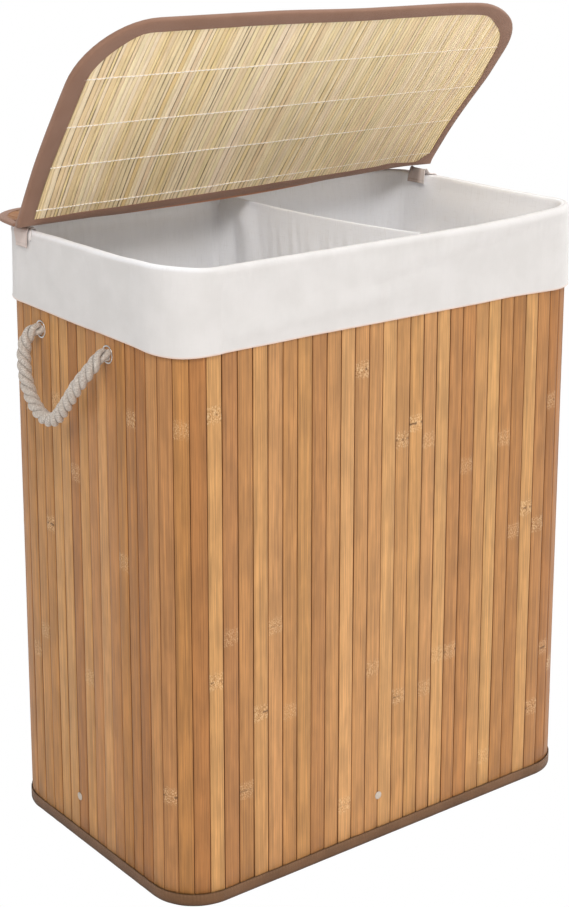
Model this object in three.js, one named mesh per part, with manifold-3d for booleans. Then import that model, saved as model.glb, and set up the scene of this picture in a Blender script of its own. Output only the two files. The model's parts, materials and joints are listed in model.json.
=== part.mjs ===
// A laundry hamper with two bins: slat walls glued to a backing cloth and bound with
// tape, two wire frames held by riveted tabs, a cotton liner with a divider and a
// turned-down cuff, two rope handles, and a bamboo lid that folds up from a rear flap.
// Millimetres, +Z up, front towards -Y, origin at the middle of the underside.

import * as THREE from "three";
import { mergeVertices } from "three/addons/utils/BufferGeometryUtils.js";
import Module from "manifold-3d";

const wasm = await Module();
wasm.setup();

// Body, measured over the faces of the slats and up to the rim of the liner
const body_width = 520;
const body_depth = 320;
const body_height = 630;
const corner_radius = 50;

// Distance kept between pieces that touch, and how far a cutting solid overruns
const touch_gap = 0.3;
const overrun = 5;

// Slats
const slat_width = 17.3;
const slat_thickness = 2.4;
const groove_width = 1.2;
const groove_depth = 0.8;
const backing_thickness = 0.8;

// Tape bound over the edges of the wall
const tape_thickness = 0.8;
const tape_width = 13;

// Bottom
const floor_cloth_thickness = 1.2;
const base_board_thickness = 3;

// Wire frames, the tabs that hold them and the rivets of the tabs
const wire_diameter = 5;
const wire_facets = 8;
const low_frame_height = 30;
const high_frame_drop = 32;
const tab_thickness = 0.8;
const tab_width = 20;
const rivet_to_wire = 19;
const tab_end = 8;
const rivet_head_diameter = 8.5;
const rivet_tail_diameter = 7;
const rivet_head_thickness = 0.8;
const rivet_shank_diameter = 3.2;
const front_rivet_offset = -17;
const side_rivet_offset = 24;
const round_facets = 12;

// Cotton liner
const cloth_thickness = 1;
const cuff_height = 84;
const cuff_lining = 18;
const divider_thickness = 1.6;
const divider_drop = 2;
const divider_rear_offset = 12;
const divider_front_offset = 38;

// Rope handles, their eyelets and knots
const rope_diameter = 14;
const rope_facets = 10;
const rope_steps = 18;
const handle_drop = 98;
const front_hole_margin = 113;
const rear_hole_margin = 85;
const eyelet_clearance = 0.4;
const eyelet_wall = 0.6;
const eyelet_flange = 3.2;
const eyelet_plate = 1;
const knot_diameter = 28;
const knot_length = 18;
const knot_room = 2;
const bulge_slope_share = 0.5;

// Lid and flap
const lid_width = 550;
const lid_overhang = 4;
const lid_corner_radius = 74;
const flap_corner_radius = 54;
const flap_depth = 70;
const lid_corner_steps = 7;
const lid_binding_width = 20;
const fold_binding_width = 12;
const mat_thickness = 1.2;
const lid_slat_thickness = 2;
const fold_gap = 0.8;
const fold_tape_width = 24;
const fold_tape_thickness = 0.6;
const fold_tape_margin = 8;
const lid_open_angle = THREE.MathUtils.degToRad(52);

// Straps that tie the fold of the lid to the side rims
const strap_width = 25;
const strap_thickness = 1;
const strap_leg = 20;

// Depths below the face of the slats, from the wall towards the inside
const backing_inset = slat_thickness + touch_gap;
const wall_inset = backing_inset + backing_thickness;
const tab_inset = wall_inset + touch_gap;
const wire_inset = tab_inset + tab_thickness + touch_gap;
const tab_back_inset = wire_inset + tab_thickness;
const inner_tab_inset = wire_inset + wire_diameter + touch_gap;
const liner_inset = inner_tab_inset + tab_thickness + touch_gap;
const bin_inset = liner_inset + cloth_thickness;
const tape_inset = -touch_gap - tape_thickness;
const tape_back_inset = wall_inset + touch_gap + tape_thickness;
const knot_start = wall_inset + touch_gap + eyelet_plate + touch_gap;
const cuff_inset = tape_inset - touch_gap - cloth_thickness;
const strap_inset = cuff_inset - touch_gap - strap_thickness;

// Heights
const wall_bottom = tape_thickness + touch_gap;
const wall_top = body_height - cloth_thickness - touch_gap - tape_thickness - touch_gap;
const board_bottom = floor_cloth_thickness + touch_gap;
const liner_bottom = board_bottom + base_board_thickness + touch_gap;
const liner_seam = body_height - cuff_lining;
const high_frame_height = wall_top - high_frame_drop;
const handle_height = body_height - handle_drop;
const strap_top = body_height + touch_gap + strap_thickness;
const lid_bottom = strap_top + touch_gap;

// Layers of the lid, from its underside up to the axis of the fold
const mat_bottom = tape_thickness + touch_gap;
const lid_slat_bottom = mat_bottom + mat_thickness + touch_gap;
const lid_binding_top = lid_slat_bottom + lid_slat_thickness + touch_gap + tape_thickness;
const fold_height = lid_binding_top + touch_gap + fold_tape_thickness;
const lid_edge = body_depth / 2 + lid_overhang;
const fold_place = lid_edge - flap_depth;
const lid_length = lid_edge + fold_place;

const quarter = Math.PI / 2;
const corner_slats = Math.round((quarter * corner_radius) / slat_width);
const side_names = ["front", "right", "back", "left"];

const finishes = {
  bamboo: { color: 0xc9935a, roughness: 0.5, metalness: 0 },
  straw: { color: 0xd8c78f, roughness: 0.6, metalness: 0 },
  cotton: { color: 0xece9e6, roughness: 0.9, metalness: 0 },
  tape: { color: 0x7d5a49, roughness: 0.85, metalness: 0 },
  backing: { color: 0x8a6a50, roughness: 0.9, metalness: 0 },
  board: { color: 0xb59b78, roughness: 0.8, metalness: 0 },
  wire: { color: 0xb8babd, roughness: 0.35, metalness: 1 },
  rivet: { color: 0xd6d3cd, roughness: 0.35, metalness: 1 },
  webbing: { color: 0xdbc7b8, roughness: 0.85, metalness: 0 },
  rope: { color: 0xd8d0c2, roughness: 0.9, metalness: 0 },
};

const hamper = new THREE.Group();

function addPiece(group, name, geometry, finish) {
  const mesh = new THREE.Mesh(geometry, new THREE.MeshStandardMaterial(finishes[finish]));
  mesh.name = name;
  group.add(mesh);
}

// Booleans

function toSolid(geometry) {
  const plain = geometry.clone();
  plain.deleteAttribute("normal");
  plain.deleteAttribute("uv");
  const merged = mergeVertices(plain, touch_gap / 100);
  return new wasm.Manifold(new wasm.Mesh({
    numProp: 3,
    vertProperties: new Float32Array(merged.attributes.position.array),
    triVerts: new Uint32Array(merged.index.array),
  }));
}

function toGeometry(solid) {
  const mesh = solid.getMesh();
  const geometry = new THREE.BufferGeometry();
  geometry.setAttribute("position", new THREE.BufferAttribute(mesh.vertProperties, 3));
  geometry.setIndex(new THREE.BufferAttribute(mesh.triVerts, 1));
  geometry.computeVertexNormals();
  return geometry;
}

function cut(geometry, ...tools) {
  return toGeometry(tools.reduce((solid, tool) => solid.subtract(toSolid(tool)), toSolid(geometry)));
}

function join(geometry, ...others) {
  return toGeometry(others.reduce((solid, other) => solid.add(toSolid(other)), toSolid(geometry)));
}

function keep(geometry, region) {
  return toGeometry(toSolid(geometry).intersect(toSolid(region)));
}

// Plan of the body

// A point on the rounded corner at the end of a side, counted anticlockwise from the front.
function cornerPoint(side, step, inset) {
  const facing = (side - 1) * quarter;
  const angle = facing + (step / corner_slats) * quarter;
  const diagonal = facing + quarter / 2;
  const reach = corner_radius - inset;
  return new THREE.Vector2(
    Math.sign(Math.cos(diagonal)) * (body_width / 2 - corner_radius) + reach * Math.cos(angle),
    Math.sign(Math.sin(diagonal)) * (body_depth / 2 - corner_radius) + reach * Math.sin(angle),
  );
}

function bodyOutline(inset) {
  const points = [];
  for (let side = 0; side < side_names.length; side++) {
    for (let step = 0; step <= corner_slats; step++) {
      points.push(cornerPoint(side, step, inset));
    }
  }
  return points;
}

// Extrudes an outline up from low to high. A hole needs an anticlockwise outline.
function extrude(points, low, high, hole) {
  const anticlockwise = THREE.ShapeUtils.isClockWise(points) ? [...points].reverse() : points;
  const shape = new THREE.Shape(anticlockwise);
  if (hole) {
    shape.holes.push(new THREE.Path(hole));
  }
  const geometry = new THREE.ExtrudeGeometry(shape, { depth: high - low, bevelEnabled: false });
  return geometry.translate(0, 0, low);
}

function plate(inset, low, high) {
  return extrude(bodyOutline(inset), low, high);
}

function ring(outer_inset, inner_inset, low, high) {
  return extrude(bodyOutline(outer_inset), low, high, bodyOutline(inner_inset));
}

// A shape drawn with its first axis pointing out of a side and its second axis up,
// extruded along that side and centred on a place along it.
function alongSide(points, width, side, place, height, hole) {
  const geometry = extrude(points, -width / 2, width / 2, hole);
  geometry.rotateX(quarter);
  geometry.translate(0, place, 0);
  return toSide(geometry, side, height);
}

// Moves a piece modelled round the +X axis, with its zero at the slat face, to a side.
function toSide(geometry, side, height) {
  const reach = side % 2 ? body_width / 2 : body_depth / 2;
  geometry.translate(reach, 0, height);
  geometry.rotateZ((side - 1) * quarter);
  return geometry;
}

// A turned piece whose axis points out of a side. Each profile point is an outward
// distance from the slat face and a radius.
function turned(profile, side, place, height) {
  const points = profile.map(([out, radius]) => new THREE.Vector2(radius, out));
  const geometry = new THREE.LatheGeometry(points, round_facets);
  geometry.rotateZ(-quarter);
  geometry.translate(0, place, 0);
  return toSide(geometry, side, height);
}

// Holes through the wall

const rivet_hole = rivet_shank_diameter / 2 + touch_gap;
const eyelet_bore = rope_diameter / 2 + eyelet_clearance;
const eyelet_hole = eyelet_bore + eyelet_wall + touch_gap;
const low_rivet_height = low_frame_height + rivet_to_wire;
const high_rivet_height = high_frame_height - rivet_to_wire;
const handle_sides = [1, 3];
const front_hole = front_hole_margin - body_depth / 2;
const rear_hole = body_depth / 2 - rear_hole_margin;
const hole_places = [front_hole, rear_hole];
const handle_offset = (front_hole + rear_hole) / 2;
const hole_reach = (rear_hole - front_hole) / 2;

// The place of a rivet along its side. Opposite sides carry theirs at the same place.
function rivetPlace(side) {
  const turn = side < 2 ? 1 : -1;
  return turn * (side % 2 ? side_rivet_offset : front_rivet_offset);
}

// The place of a rope hole along its side, from its place along +Y.
function ropePlace(side, place) {
  return side === 1 ? place : -place;
}

function drill(radius, side, place, height) {
  const profile = [
    [-inner_tab_inset - overrun, 0],
    [-inner_tab_inset - overrun, radius],
    [overrun, radius],
    [overrun, 0],
  ];
  return turned(profile, side, place, height);
}

function wallDrills(side) {
  const drills = [low_rivet_height, high_rivet_height].map((height) =>
    drill(rivet_hole, side, rivetPlace(side), height));
  if (handle_sides.includes(side)) {
    for (const place of hole_places) {
      drills.push(drill(eyelet_hole, side, ropePlace(side, place), handle_height));
    }
  }
  return drills;
}

// Slat walls

// One run of slats as a closed outline. edge(k, inset) is the boundary before slat k.
function slatRun(count, edge) {
  const face = [];
  const back = [];
  for (let slat = 0; slat < count; slat++) {
    const width = edge(slat, 0).distanceTo(edge(slat + 1, 0));
    const first = slat === 0;
    const last = slat === count - 1;
    const start = (first ? touch_gap : groove_width) / 2 / width;
    const end = 1 - (last ? touch_gap : groove_width) / 2 / width;
    const at = (share, inset) => edge(slat, inset).lerp(edge(slat + 1, inset), share);
    face.push(at(start, 0), at(end, 0));
    if (first) {
      back.push(at(start, slat_thickness));
    }
    if (last) {
      back.push(at(end, slat_thickness));
    } else {
      face.push(edge(slat + 1, groove_depth));
      back.push(edge(slat + 1, slat_thickness));
    }
  }
  return extrude(face.concat(back.reverse()), wall_bottom, wall_top);
}

function addWalls() {
  for (let side = 0; side < side_names.length; side++) {
    const before = (side + side_names.length - 1) % side_names.length;
    const next = (side + 1) % side_names.length;
    const length = cornerPoint(before, corner_slats, 0).distanceTo(cornerPoint(side, 0, 0));
    const count = Math.round(length / slat_width);
    const straight = slatRun(count, (slat, inset) =>
      cornerPoint(before, corner_slats, inset).lerp(cornerPoint(side, 0, inset), slat / count));
    addPiece(hamper, `slats_${side_names[side]}`, cut(straight, ...wallDrills(side)), "bamboo");
    const corner = slatRun(corner_slats, (slat, inset) => cornerPoint(side, slat, inset));
    addPiece(hamper, `slats_${side_names[side]}_${side_names[next]}_corner`, corner, "bamboo");
  }
  const drills = side_names.flatMap((name, side) => wallDrills(side));
  const backing = ring(backing_inset, wall_inset, wall_bottom, wall_top);
  addPiece(hamper, "backing_cloth", cut(backing, ...drills), "backing");
}

// Tape folded over the lower and the upper edge of the wall
function addEdgeTapes() {
  const channel = (low, high) => ring(-touch_gap, wall_inset + touch_gap, low, high);
  const top = wall_top + touch_gap + tape_thickness;
  const low_tape = ring(tape_inset, tape_back_inset, 0, tape_width);
  const high_tape = ring(tape_inset, tape_back_inset, top - tape_width, top);
  const low_channel = channel(tape_thickness, tape_width + overrun);
  const high_channel = channel(top - tape_width - overrun, wall_top + touch_gap);
  addPiece(hamper, "bottom_edge_tape", cut(low_tape, low_channel), "tape");
  addPiece(hamper, "top_edge_tape", cut(high_tape, high_channel), "tape");
}

function addBottom() {
  const inset = tape_back_inset + touch_gap;
  addPiece(hamper, "floor_cloth", plate(inset, 0, floor_cloth_thickness), "backing");
  const board = plate(inset, board_bottom, board_bottom + base_board_thickness);
  addPiece(hamper, "base_board", board, "board");
}

// Wire frames

// A bent wire that follows the wall: rings of points round each outline point.
function wireLoop(height) {
  const positions = [];
  const indices = [];
  const middle = bodyOutline(wire_inset + wire_diameter / 2);
  middle.forEach((point, index) => {
    const side = Math.floor(index / (corner_slats + 1));
    const step = index % (corner_slats + 1);
    const angle = (side - 1) * quarter + (step / corner_slats) * quarter;
    for (let facet = 0; facet < wire_facets; facet++) {
      const turn = ((facet + 1 / 2) / wire_facets) * 2 * Math.PI;
      const out = (wire_diameter / 2) * Math.cos(turn);
      const up = (wire_diameter / 2) * Math.sin(turn);
      positions.push(point.x + out * Math.cos(angle), point.y + out * Math.sin(angle), height + up);
    }
  });
  for (let row = 0; row < middle.length; row++) {
    for (let facet = 0; facet < wire_facets; facet++) {
      const next_row = (row + 1) % middle.length;
      const next_facet = (facet + 1) % wire_facets;
      const a = row * wire_facets + facet;
      const b = next_row * wire_facets + facet;
      const c = next_row * wire_facets + next_facet;
      const d = row * wire_facets + next_facet;
      indices.push(a, b, c, a, c, d);
    }
  }
  const geometry = new THREE.BufferGeometry();
  geometry.setAttribute("position", new THREE.Float32BufferAttribute(positions, 3));
  geometry.setIndex(indices);
  geometry.computeVertexNormals();
  return geometry;
}

// A tab looped round the wire and doubled at its riveted end. up is 1 where the
// rivet is above the wire and -1 where it is below.
function tabSection(up) {
  const wire = wire_inset + wire_diameter / 2;
  const inner_reach = wire_diameter / 2 + touch_gap;
  const outer_reach = inner_reach + tab_thickness;
  const neck = rivet_to_wire - tab_end;
  const top = rivet_to_wire + tab_end;
  const arc = (reach) => {
    const points = [];
    for (let step = 0; step <= wire_facets; step++) {
      const turn = (step / wire_facets) * Math.PI;
      points.push([-wire + reach * Math.cos(turn), -reach * Math.sin(turn)]);
    }
    return points;
  };
  const place = ([out, height]) => new THREE.Vector2(out, up * height);
  const outline = arc(outer_reach);
  outline.push([-tab_back_inset, neck], [-tab_back_inset, top], [-tab_inset, top]);
  const window = arc(inner_reach);
  window.push([-tab_back_inset + tab_thickness, neck], [-tab_inset - tab_thickness, neck]);
  return { outline: outline.map(place), window: window.map(place) };
}

function rivetProfile() {
  const head = rivet_head_diameter / 2;
  const tail = rivet_tail_diameter / 2;
  const shank = rivet_shank_diameter / 2;
  const seat = -tab_back_inset - touch_gap;
  return [
    [seat - rivet_head_thickness, 0],
    [seat - rivet_head_thickness, tail],
    [seat, tail],
    [seat, shank],
    [touch_gap, shank],
    [touch_gap, head],
    [touch_gap + rivet_head_thickness / 2, head],
    [touch_gap + rivet_head_thickness, head / 2],
    [touch_gap + rivet_head_thickness, 0],
  ];
}

function addFrames() {
  const levels = [
    { name: "lower", wire: low_frame_height, rivet: low_rivet_height, up: 1 },
    { name: "upper", wire: high_frame_height, rivet: high_rivet_height, up: -1 },
  ];
  for (const level of levels) {
    addPiece(hamper, `${level.name}_wire_frame`, wireLoop(level.wire), "wire");
    const section = tabSection(level.up);
    for (let side = 0; side < side_names.length; side++) {
      const name = `${level.name}_${side_names[side]}`;
      const place = rivetPlace(side);
      const strip = alongSide(section.outline, tab_width, side, place, level.wire, section.window);
      const hole = drill(rivet_hole, side, place, level.rivet);
      addPiece(hamper, `${name}_tab`, cut(strip, hole), "backing");
      addPiece(hamper, `${name}_rivet`, turned(rivetProfile(), side, place, level.rivet), "rivet");
    }
  }
}

// Liner

const divider_middle = (divider_rear_offset + divider_front_offset) / 2;
const divider_span = body_depth - 2 * bin_inset;
const divider_skew = Math.atan((divider_front_offset - divider_rear_offset) / divider_span);

// A block on one side of the divider, or the divider's own slab where side is 0.
function dividerBlock(side, low, high) {
  const reach = side ? body_width : divider_thickness;
  const block = new THREE.BoxGeometry(reach, body_width, high - low);
  const shift = side * (reach / 2 + divider_thickness / 2 + touch_gap);
  block.translate(shift, 0, (low + high) / 2);
  block.rotateZ(divider_skew);
  return block.translate(divider_middle, 0, 0);
}

// The room that a knot takes behind the liner, as a blunt cone, and its cloth.
function knotBulge(side, place, wall) {
  const depth = knot_start + knot_length + knot_room + wall;
  const base = knot_diameter / 2 + 3 * knot_room + wall;
  const slope = bulge_slope_share * base;
  const start = -liner_inset - (wall ? 0 : -touch_gap);
  const profile = [[-depth, 0], [-depth, slope], [start, base], [start, 0]];
  return turned(profile, side, ropePlace(side, place), handle_height);
}

function addLiner() {
  const wall_end = liner_seam - touch_gap;
  const floor_top = liner_bottom + cloth_thickness;
  const bins = [{ name: "left", turn: -1, side: 3 }, { name: "right", turn: 1, side: 1 }];
  for (const bin of bins) {
    const region = dividerBlock(bin.turn, -overrun, body_height);
    let wall = keep(ring(liner_inset, bin_inset, liner_bottom, wall_end), region);
    for (const place of hole_places) {
      wall = join(wall, knotBulge(bin.side, place, cloth_thickness));
      wall = cut(wall, knotBulge(bin.side, place, 0));
    }
    addPiece(hamper, `liner_${bin.name}_wall`, wall, "cotton");
    const floor = keep(plate(bin_inset + touch_gap, liner_bottom, floor_top), region);
    addPiece(hamper, `liner_${bin.name}_floor`, floor, "cotton");
  }
  const top = body_height - divider_drop;
  const sewn = keep(dividerBlock(0, liner_bottom, wall_end), plate(liner_inset, 0, body_height));
  const free = keep(dividerBlock(0, liner_bottom, top), plate(bin_inset + touch_gap, 0, body_height));
  addPiece(hamper, "liner_divider", join(sewn, free), "cotton");
  addCuff();
}

// The cuff goes up from the seam inside, over the rim and down outside the slats.
function addCuff() {
  const hem = body_height - cuff_height;
  const room_top = body_height - cloth_thickness;
  const full = ring(cuff_inset, bin_inset, hem, body_height);
  const room = ring(cuff_inset + cloth_thickness, liner_inset, hem - overrun, room_top);
  const below_seam = ring(liner_inset - overrun, bin_inset + overrun, hem - overrun, liner_seam);
  addPiece(hamper, "liner_cuff", cut(full, room, below_seam), "cotton");
}

// Rope handles

function eyeletProfile() {
  const barrel = eyelet_bore + eyelet_wall;
  const flange = eyelet_bore + eyelet_flange;
  const inside = -wall_inset - touch_gap;
  return [
    [inside - eyelet_plate, eyelet_bore],
    [inside - eyelet_plate, flange],
    [inside, flange],
    [inside, barrel],
    [touch_gap, barrel],
    [touch_gap, flange],
    [touch_gap + eyelet_plate, flange],
    [touch_gap + eyelet_plate, eyelet_bore],
    [inside - eyelet_plate, eyelet_bore],
  ];
}

// The end of the rope in its eyelet, and the stopper knot tied behind the wall
const rope_end_out = touch_gap + eyelet_plate + touch_gap;

function knotProfile() {
  const rope = rope_diameter / 2;
  const knot = knot_diameter / 2;
  const rise = knot_length / 8;
  const end = -knot_start - knot_length;
  return [
    [end, 0],
    [end, rope],
    [end + rise, knot - rise],
    [end + 3 * rise, knot],
    [end + 4 * rise, knot - rise / 2],
    [end + 5 * rise, knot],
    [end + 7 * rise, knot - rise],
    [-knot_start, rope],
    [rope_end_out, rope],
    [rope_end_out, 0],
  ];
}

// The hanging loop, from its rear end to its front end: outward, rearward and downward
// distances from the middle of the line between its ends, as shares of half that line.
const loop_shares = [
  [0, 1, 0],
  [0.098, 1.016, 0.148],
  [0.164, 1, 0.361],
  [0.213, 0.934, 0.607],
  [0.246, 0.803, 0.836],
  [0.262, 0.623, 1.033],
  [0.279, 0.41, 1.164],
  [0.279, 0.197, 1.23],
  [0.279, -0.033, 1.197],
  [0.279, -0.23, 1.066],
  [0.279, -0.41, 0.885],
  [0.262, -0.574, 0.689],
  [0.23, -0.721, 0.492],
  [0.164, -0.852, 0.295],
  [0.082, -0.967, 0.115],
  [0, -1, 0],
];
const loop_out = rope_end_out + touch_gap + rope_diameter / 2;

function ropeLoop(turn) {
  const points = loop_shares.map(([out, rearward, down]) => new THREE.Vector3(
    turn * (body_width / 2 + loop_out + out * hole_reach),
    handle_offset + rearward * hole_reach,
    handle_height - down * hole_reach,
  ));
  const route = new THREE.CatmullRomCurve3(points);
  const section = [];
  for (let facet = 0; facet < rope_facets; facet++) {
    const angle = (facet / rope_facets) * 2 * Math.PI;
    section.push(new THREE.Vector2(Math.cos(angle), Math.sin(angle)).multiplyScalar(rope_diameter / 2));
  }
  const tube = new THREE.ExtrudeGeometry(new THREE.Shape(section), {
    steps: rope_steps,
    extrudePath: route,
  });
  const ends = [points[0], points[points.length - 1]].map((point) => {
    const ball = new THREE.SphereGeometry(rope_diameter / 2, round_facets, round_facets / 2);
    return ball.translate(point.x, point.y, point.z);
  });
  return join(tube, ...ends);
}

function addHandles() {
  for (const side of handle_sides) {
    const name = side_names[side];
    const turn = side === 1 ? 1 : -1;
    hole_places.forEach((place, index) => {
      const end = `${name}_${index ? "rear" : "front"}`;
      const along = ropePlace(side, place);
      addPiece(hamper, `${end}_eyelet`, turned(eyeletProfile(), side, along, handle_height), "rivet");
      addPiece(hamper, `${end}_rope_knot`, turned(knotProfile(), side, along, handle_height), "rope");
    });
    addPiece(hamper, `${name}_rope_handle`, ropeLoop(turn), "rope");
  }
}

// Lid and rear flap. Both are modelled closed, with the fold's axis as their zero line.

// A panel with two square corners at the fold and two rounded corners at its far edge.
// turn is -1 for the lid, in front of the fold, and 1 for the flap behind it.
function panelOutline(panel, inset, fold_inset) {
  const half = lid_width / 2 - inset;
  const near = fold_gap / 2 + fold_inset;
  const far = panel.length - inset;
  const radius = panel.radius - inset;
  const points = [new THREE.Vector2(-half, panel.turn * near), new THREE.Vector2(half, panel.turn * near)];
  for (const [start, across] of [[0, 1], [1, -1]]) {
    for (let step = 0; step <= lid_corner_steps; step++) {
      const angle = (start + step / lid_corner_steps) * quarter;
      points.push(new THREE.Vector2(
        across * (half - radius) + radius * Math.cos(angle),
        panel.turn * (far - radius + radius * Math.sin(angle)),
      ));
    }
  }
  return panel.turn > 0 ? points : points.reverse();
}

// Slats that run away from the fold, with grooves in their upper face
function slatSheet(panel) {
  const width = lid_width - 2 * (tape_thickness + touch_gap);
  const count = Math.round(width / slat_width);
  const low = lid_slat_bottom - fold_height;
  const high = low + lid_slat_thickness;
  const points = [new THREE.Vector2(width / 2, low), new THREE.Vector2(width / 2, high)];
  for (let slat = count - 1; slat > 0; slat--) {
    const edge = width * (slat / count - 1 / 2);
    points.push(new THREE.Vector2(edge + groove_width / 2, high));
    points.push(new THREE.Vector2(edge, high - groove_depth));
    points.push(new THREE.Vector2(edge - groove_width / 2, high));
  }
  points.push(new THREE.Vector2(-width / 2, high), new THREE.Vector2(-width / 2, low));
  const sheet = extrude(points, -panel.length, panel.length);
  sheet.rotateX(quarter);
  const inset = tape_thickness + touch_gap;
  const plan = extrude(panelOutline(panel, inset, inset), low - overrun, high + overrun);
  return keep(sheet, plan);
}

function addPanel(group, name, panel) {
  const inset = tape_thickness + touch_gap;
  const mat_low = mat_bottom - fold_height;
  const mat = extrude(panelOutline(panel, inset, inset), mat_low, mat_low + mat_thickness);
  const low = -fold_height;
  const high = lid_binding_top - fold_height;
  const cover = extrude(panelOutline(panel, 0, 0), low, high);
  const room = extrude(
    panelOutline(panel, tape_thickness, tape_thickness), low + tape_thickness, high - tape_thickness);
  const window_plan = panelOutline(panel, lid_binding_width, fold_binding_width);
  const opening = extrude(window_plan, low - overrun, high + overrun);
  addPiece(group, `${name}_slats`, slatSheet(panel), "bamboo");
  addPiece(group, `${name}_straw_mat`, mat, "straw");
  addPiece(group, `${name}_binding`, cut(cover, room, opening), "tape");
  const tape = new THREE.BoxGeometry(
    lid_width - 2 * fold_tape_margin, (fold_tape_width - fold_gap) / 2, fold_tape_thickness);
  tape.translate(0, (panel.turn * (fold_tape_width + fold_gap)) / 4, -fold_tape_thickness / 2);
  addPiece(group, `${name}_fold_tape`, tape, "tape");
}

function addLid() {
  const flap = new THREE.Group();
  flap.position.set(0, fold_place, lid_bottom + fold_height);
  addPanel(flap, "flap", { turn: 1, length: flap_depth, radius: flap_corner_radius });
  const lid = new THREE.Group();
  lid.position.copy(flap.position);
  lid.rotation.x = -lid_open_angle;
  addPanel(lid, "lid", { turn: -1, length: lid_length, radius: lid_corner_radius });
  hamper.add(flap, lid);
}

// A strap straddles the side rim under the fold, with one leg outside and one inside.
function addStraps() {
  const inner = bin_inset + touch_gap;
  const low = strap_top - strap_thickness - strap_leg;
  const outline = [
    [-strap_inset, low],
    [-strap_inset, strap_top],
    [-inner - strap_thickness, strap_top],
    [-inner - strap_thickness, low],
    [-inner, low],
    [-inner, strap_top - strap_thickness],
    [-strap_inset - strap_thickness, strap_top - strap_thickness],
    [-strap_inset - strap_thickness, low],
  ].map(([out, height]) => new THREE.Vector2(out, height));
  for (const side of handle_sides) {
    const strap = alongSide(outline, strap_width, side, ropePlace(side, fold_place), 0);
    addPiece(hamper, `${side_names[side]}_hinge_strap`, strap, "webbing");
  }
}

addWalls();
addEdgeTapes();
addBottom();
addFrames();
addLiner();
addHandles();
addLid();
addStraps();

export default hamper;
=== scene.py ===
"""Looks of the two-bin laundry hamper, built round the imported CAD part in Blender 4.5.

Metres, +Z up, front towards -Y. The body's places come from the CAD's boxes and joints.
"""

import json
import math

import bpy
import numpy as np
from mathutils import Matrix, Vector


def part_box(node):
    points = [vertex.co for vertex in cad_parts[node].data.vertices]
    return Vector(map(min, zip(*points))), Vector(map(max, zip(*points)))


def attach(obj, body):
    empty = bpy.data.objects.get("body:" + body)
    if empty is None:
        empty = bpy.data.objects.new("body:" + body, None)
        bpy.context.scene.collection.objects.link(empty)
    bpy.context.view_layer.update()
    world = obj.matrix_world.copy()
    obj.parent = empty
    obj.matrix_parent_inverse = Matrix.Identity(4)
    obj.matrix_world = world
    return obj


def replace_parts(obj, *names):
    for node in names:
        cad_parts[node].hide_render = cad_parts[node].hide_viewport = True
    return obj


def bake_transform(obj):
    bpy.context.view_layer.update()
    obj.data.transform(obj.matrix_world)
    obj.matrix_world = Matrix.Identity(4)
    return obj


MM = 0.001
TAU = 2 * math.pi
SIDES = ("front", "right", "back", "left")

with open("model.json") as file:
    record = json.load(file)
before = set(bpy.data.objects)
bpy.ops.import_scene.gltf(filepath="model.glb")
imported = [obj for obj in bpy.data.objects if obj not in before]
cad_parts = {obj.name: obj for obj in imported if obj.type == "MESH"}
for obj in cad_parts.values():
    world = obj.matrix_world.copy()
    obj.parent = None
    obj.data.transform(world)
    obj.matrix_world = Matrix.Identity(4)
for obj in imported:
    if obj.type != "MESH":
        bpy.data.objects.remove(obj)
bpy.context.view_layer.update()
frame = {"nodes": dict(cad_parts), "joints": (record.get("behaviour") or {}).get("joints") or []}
scene = bpy.context.scene

# Sizes of the body, read from the CAD

slats_low, slats_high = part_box("slats_front")
HALF_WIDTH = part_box("slats_right")[1].x
HALF_DEPTH = -slats_low.y
CORNER = HALF_WIDTH - slats_high.x
WALL_LOW, WALL_HIGH = slats_low.z, slats_high.z
SLAT_THICKNESS = slats_high.y - slats_low.y
cuff_low, cuff_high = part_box("liner_cuff")
HEM, RIM = cuff_low.z, cuff_high.z
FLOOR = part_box("liner_left_floor")[1].z
joints = {j["name"]: j for j in frame["joints"]}
FOLD = Vector(joints["lid_hinge"]["pos_m"])
HANDLE = Vector(joints["left_handle_swing"]["pos_m"])

# The CAD's own values for what the frame doesn't list: a slat's width, how far each rope hole
# is from the middle of its handle, and how far open the lid is at rest
SLAT_PITCH = 17.3 * MM
HOLE_STEP = 61 * MM
LID_OPEN = math.radians(52)

# Plan of the body: a rounded rectangle, followed anticlockwise from the front's left end

STRAIGHTS = (2 * (HALF_WIDTH - CORNER), 2 * (HALF_DEPTH - CORNER)) * 2
ARC = CORNER * math.pi / 2
ROUND = sum(STRAIGHTS) + 4 * ARC


def side_start(side):
    """How far round the outline a side's straight run starts."""
    return sum(STRAIGHTS[:side]) + side * ARC


# Start and length of each straight run and of the corner after it
RUNS = []
for number, straight in enumerate(STRAIGHTS):
    RUNS += [(side_start(number), straight), (side_start(number) + straight, ARC)]


def outline(t, inset=0.0):
    """Points and outward directions at distances t round the outline, moved in by inset."""
    t = np.mod(np.asarray(t, float), ROUND)
    inset = np.broadcast_to(np.asarray(inset, float), t.shape)
    point, out = np.zeros(t.shape + (2,)), np.zeros(t.shape + (2,))
    for side in range(4):
        start, length = side_start(side), STRAIGHTS[side]
        facing = (side - 1) * math.pi / 2
        n = np.array([math.cos(facing), math.sin(facing)])
        along = np.array([-n[1], n[0]])
        reach = HALF_WIDTH if side % 2 else HALF_DEPTH
        on = (t >= start) & (t <= start + length)
        point[on] = n * (reach - inset[on])[:, None] + along * (t[on] - start - length / 2)[:, None]
        out[on] = n
        on = (t > start + length) & (t < start + length + ARC)
        angle = facing + (t[on] - start - length) / CORNER
        spoke = np.stack([np.cos(angle), np.sin(angle)], -1)
        middle = n * (reach - CORNER) + along * length / 2
        point[on] = middle + spoke * (CORNER - inset[on])[:, None]
        out[on] = spoke
    return point, out


def ring(t, inset, height):
    """Points round the body at distances t, an inset and a height."""
    return np.concatenate([outline(t, inset)[0], np.broadcast_to(height, t.shape)[:, None]], -1)


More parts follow.
